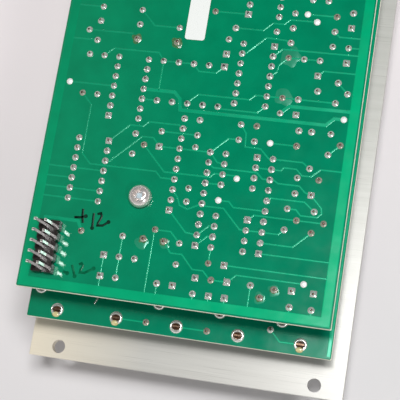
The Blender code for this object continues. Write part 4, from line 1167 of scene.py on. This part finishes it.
def make_floor():
    """A pale table top, with painted light that makes it brighter towards −X and +Y."""
    material, shader = new_material("table", (0.74, 0.72, 0.73), 0.6)
    # painted light: the table's tone brightens towards −X and +Y
    far = slope_over(material, *TABLE_PAINTED_LIGHT_SLOPE)
    tone = mixed(material, far, (0.7, 0.687, 0.692), (0.875, 0.82, 0.832))
    value = grain(material, TABLE_GRAIN, detail=2)
    toned(material, shader, tone, spread_out(material, value, *TABLE_TONES))
    shape = bmesh.new()
    bmesh.ops.create_grid(shape, x_segments=1, y_segments=1, size=TABLE_REACH)
    floor = finished(shape, "floor", [material])


def make_light(name, spot, size, power):
    """A square soft light that faces the origin."""
    data = bpy.data.lights.new(name, "AREA")
    data.shape = "SQUARE"
    data.size = size
    data.energy = power
    light = bpy.data.objects.new(name, data)
    light.location = spot
    light.rotation_euler = (-Vector(spot)).to_track_quat("-Z", "Y").to_euler()
    bpy.context.scene.collection.objects.link(light)


def make_surroundings():
    """A room with a pale horizon, a bright near wall and a ceiling that is warmer to the left."""
    world = bpy.data.worlds.new("studio")
    bpy.context.scene.world = world
    world.use_nodes = True
    direction = add_node(world, "TexCoord").outputs["Generated"]
    split = add_node(world, "SeparateXYZ", {"Vector": direction})

    def share(axis, limits):
        return share_between(world, split.outputs[axis], *limits)

    ceiling = mixed(world, share("X", CEILING_X_LIMITS), CEILING_WARM, CEILING)
    walls = mixed(world, share("Y", WALL_Y_LIMITS), WALL_NEAR, WALL_FAR)
    upper = mixed(world, share("Z", WALL_TOP_LIMITS), walls, ceiling)
    horizon = mixed(world, share("Y", HORIZON_Y_LIMITS), HORIZON_NEAR, HORIZON_FAR)
    room = mixed(world, share("Z", HORIZON_TOP_LIMITS), horizon, upper)
    connect(world, room, world.node_tree.nodes["Background"], "Color")


make_camera()
make_surroundings()
make_floor()
make_light("window", WINDOW_SPOT, WINDOW_SIZE, WINDOW_POWER)
make_light("lamp", LAMP_SPOT, LAMP_SIZE, LAMP_POWER)
make_light("sky", SKY_SPOT, SKY_SIZE, SKY_POWER)
make_light("spark", SPARK_SPOT, SPARK_SIZE, SPARK_POWER)

make_board("rear_board_laminate", REAR, MASK)
make_board("front_board_laminate", FRONT, FRONT_MASK)
make_border("rear_board_border", REAR)
make_tracks("rear_board_tracks", REAR, REAR_CHAINS)
make_tracks("front_board_tracks", FRONT, FRONT_CHAINS)
make_writing("plus_twelve", PEN, PEN_STROKES, PEN_DOTS)
make_writing("minus_twelve", FAINT_PEN, FAINT_STROKES, FAINT_DOTS)
make_sticker()
make_joints()
make_stains()
make_front_joints()
make_screw()
make_panel()
for prefix, material in (
    ("jack", BLACK),
    ("jack_nut", NICKEL),
    ("pot_body", POT_STEEL),
    ("pot_nut", NICKEL),
    ("pot_shaft", NICKEL),
    ("pot_knob", KNOB),
    ("pin_strip", BLACK),
    ("strip_socket", BLACK),
    ("power_header", BLACK),
    ("chip", CHIP),
    ("capacitor", SLEEVE),
    ("resistor", LACQUER),
    ("film_capacitor", FILM_BOX),
    ("board_pillar", NICKEL),
    ("front_board_screw", STEEL),
):
    dress(prefix, material)

for prefix, material, chosen in (
    (
        "power_header",
        PIN_METAL,
        lambda spot, low, high: not REAR.face < spot.z < REAR.face + HEADER_BASE_HEIGHT,
    ),
    (
        "pin_strip",
        PIN_METAL,
        lambda spot, low, high: not REAR.under - STRIP_BASE_HEIGHT <= spot.z <= REAR.under,
    ),
    ("strip_socket", PIN_METAL, lambda spot, low, high: spot.z < FRONT.face),
    (
        "chip",
        PIN_METAL,
        lambda spot, low, high: off_middle(spot, low, high, 0) > CHIP_HALF_WIDTH
        or spot.z > REAR.under,
    ),
    ("jack", THREAD, is_thread),
    ("jack", LUG_METAL, is_strap),
    ("capacitor", PIN_METAL, is_lead),
    (
        "resistor",
        PIN_METAL,
        lambda spot, low, high: off_middle(spot, low, high, 1) > RESISTOR_HALF_LENGTH,
    ),
    ("film_capacitor", PIN_METAL, is_lead),
    ("pot_body", THREAD, is_thread),
    ("pot_knob", LINE_PAINT, is_line),
):
    paint(prefix, material, chosen)

bpy.context.scene.view_settings.view_transform = "Standard"
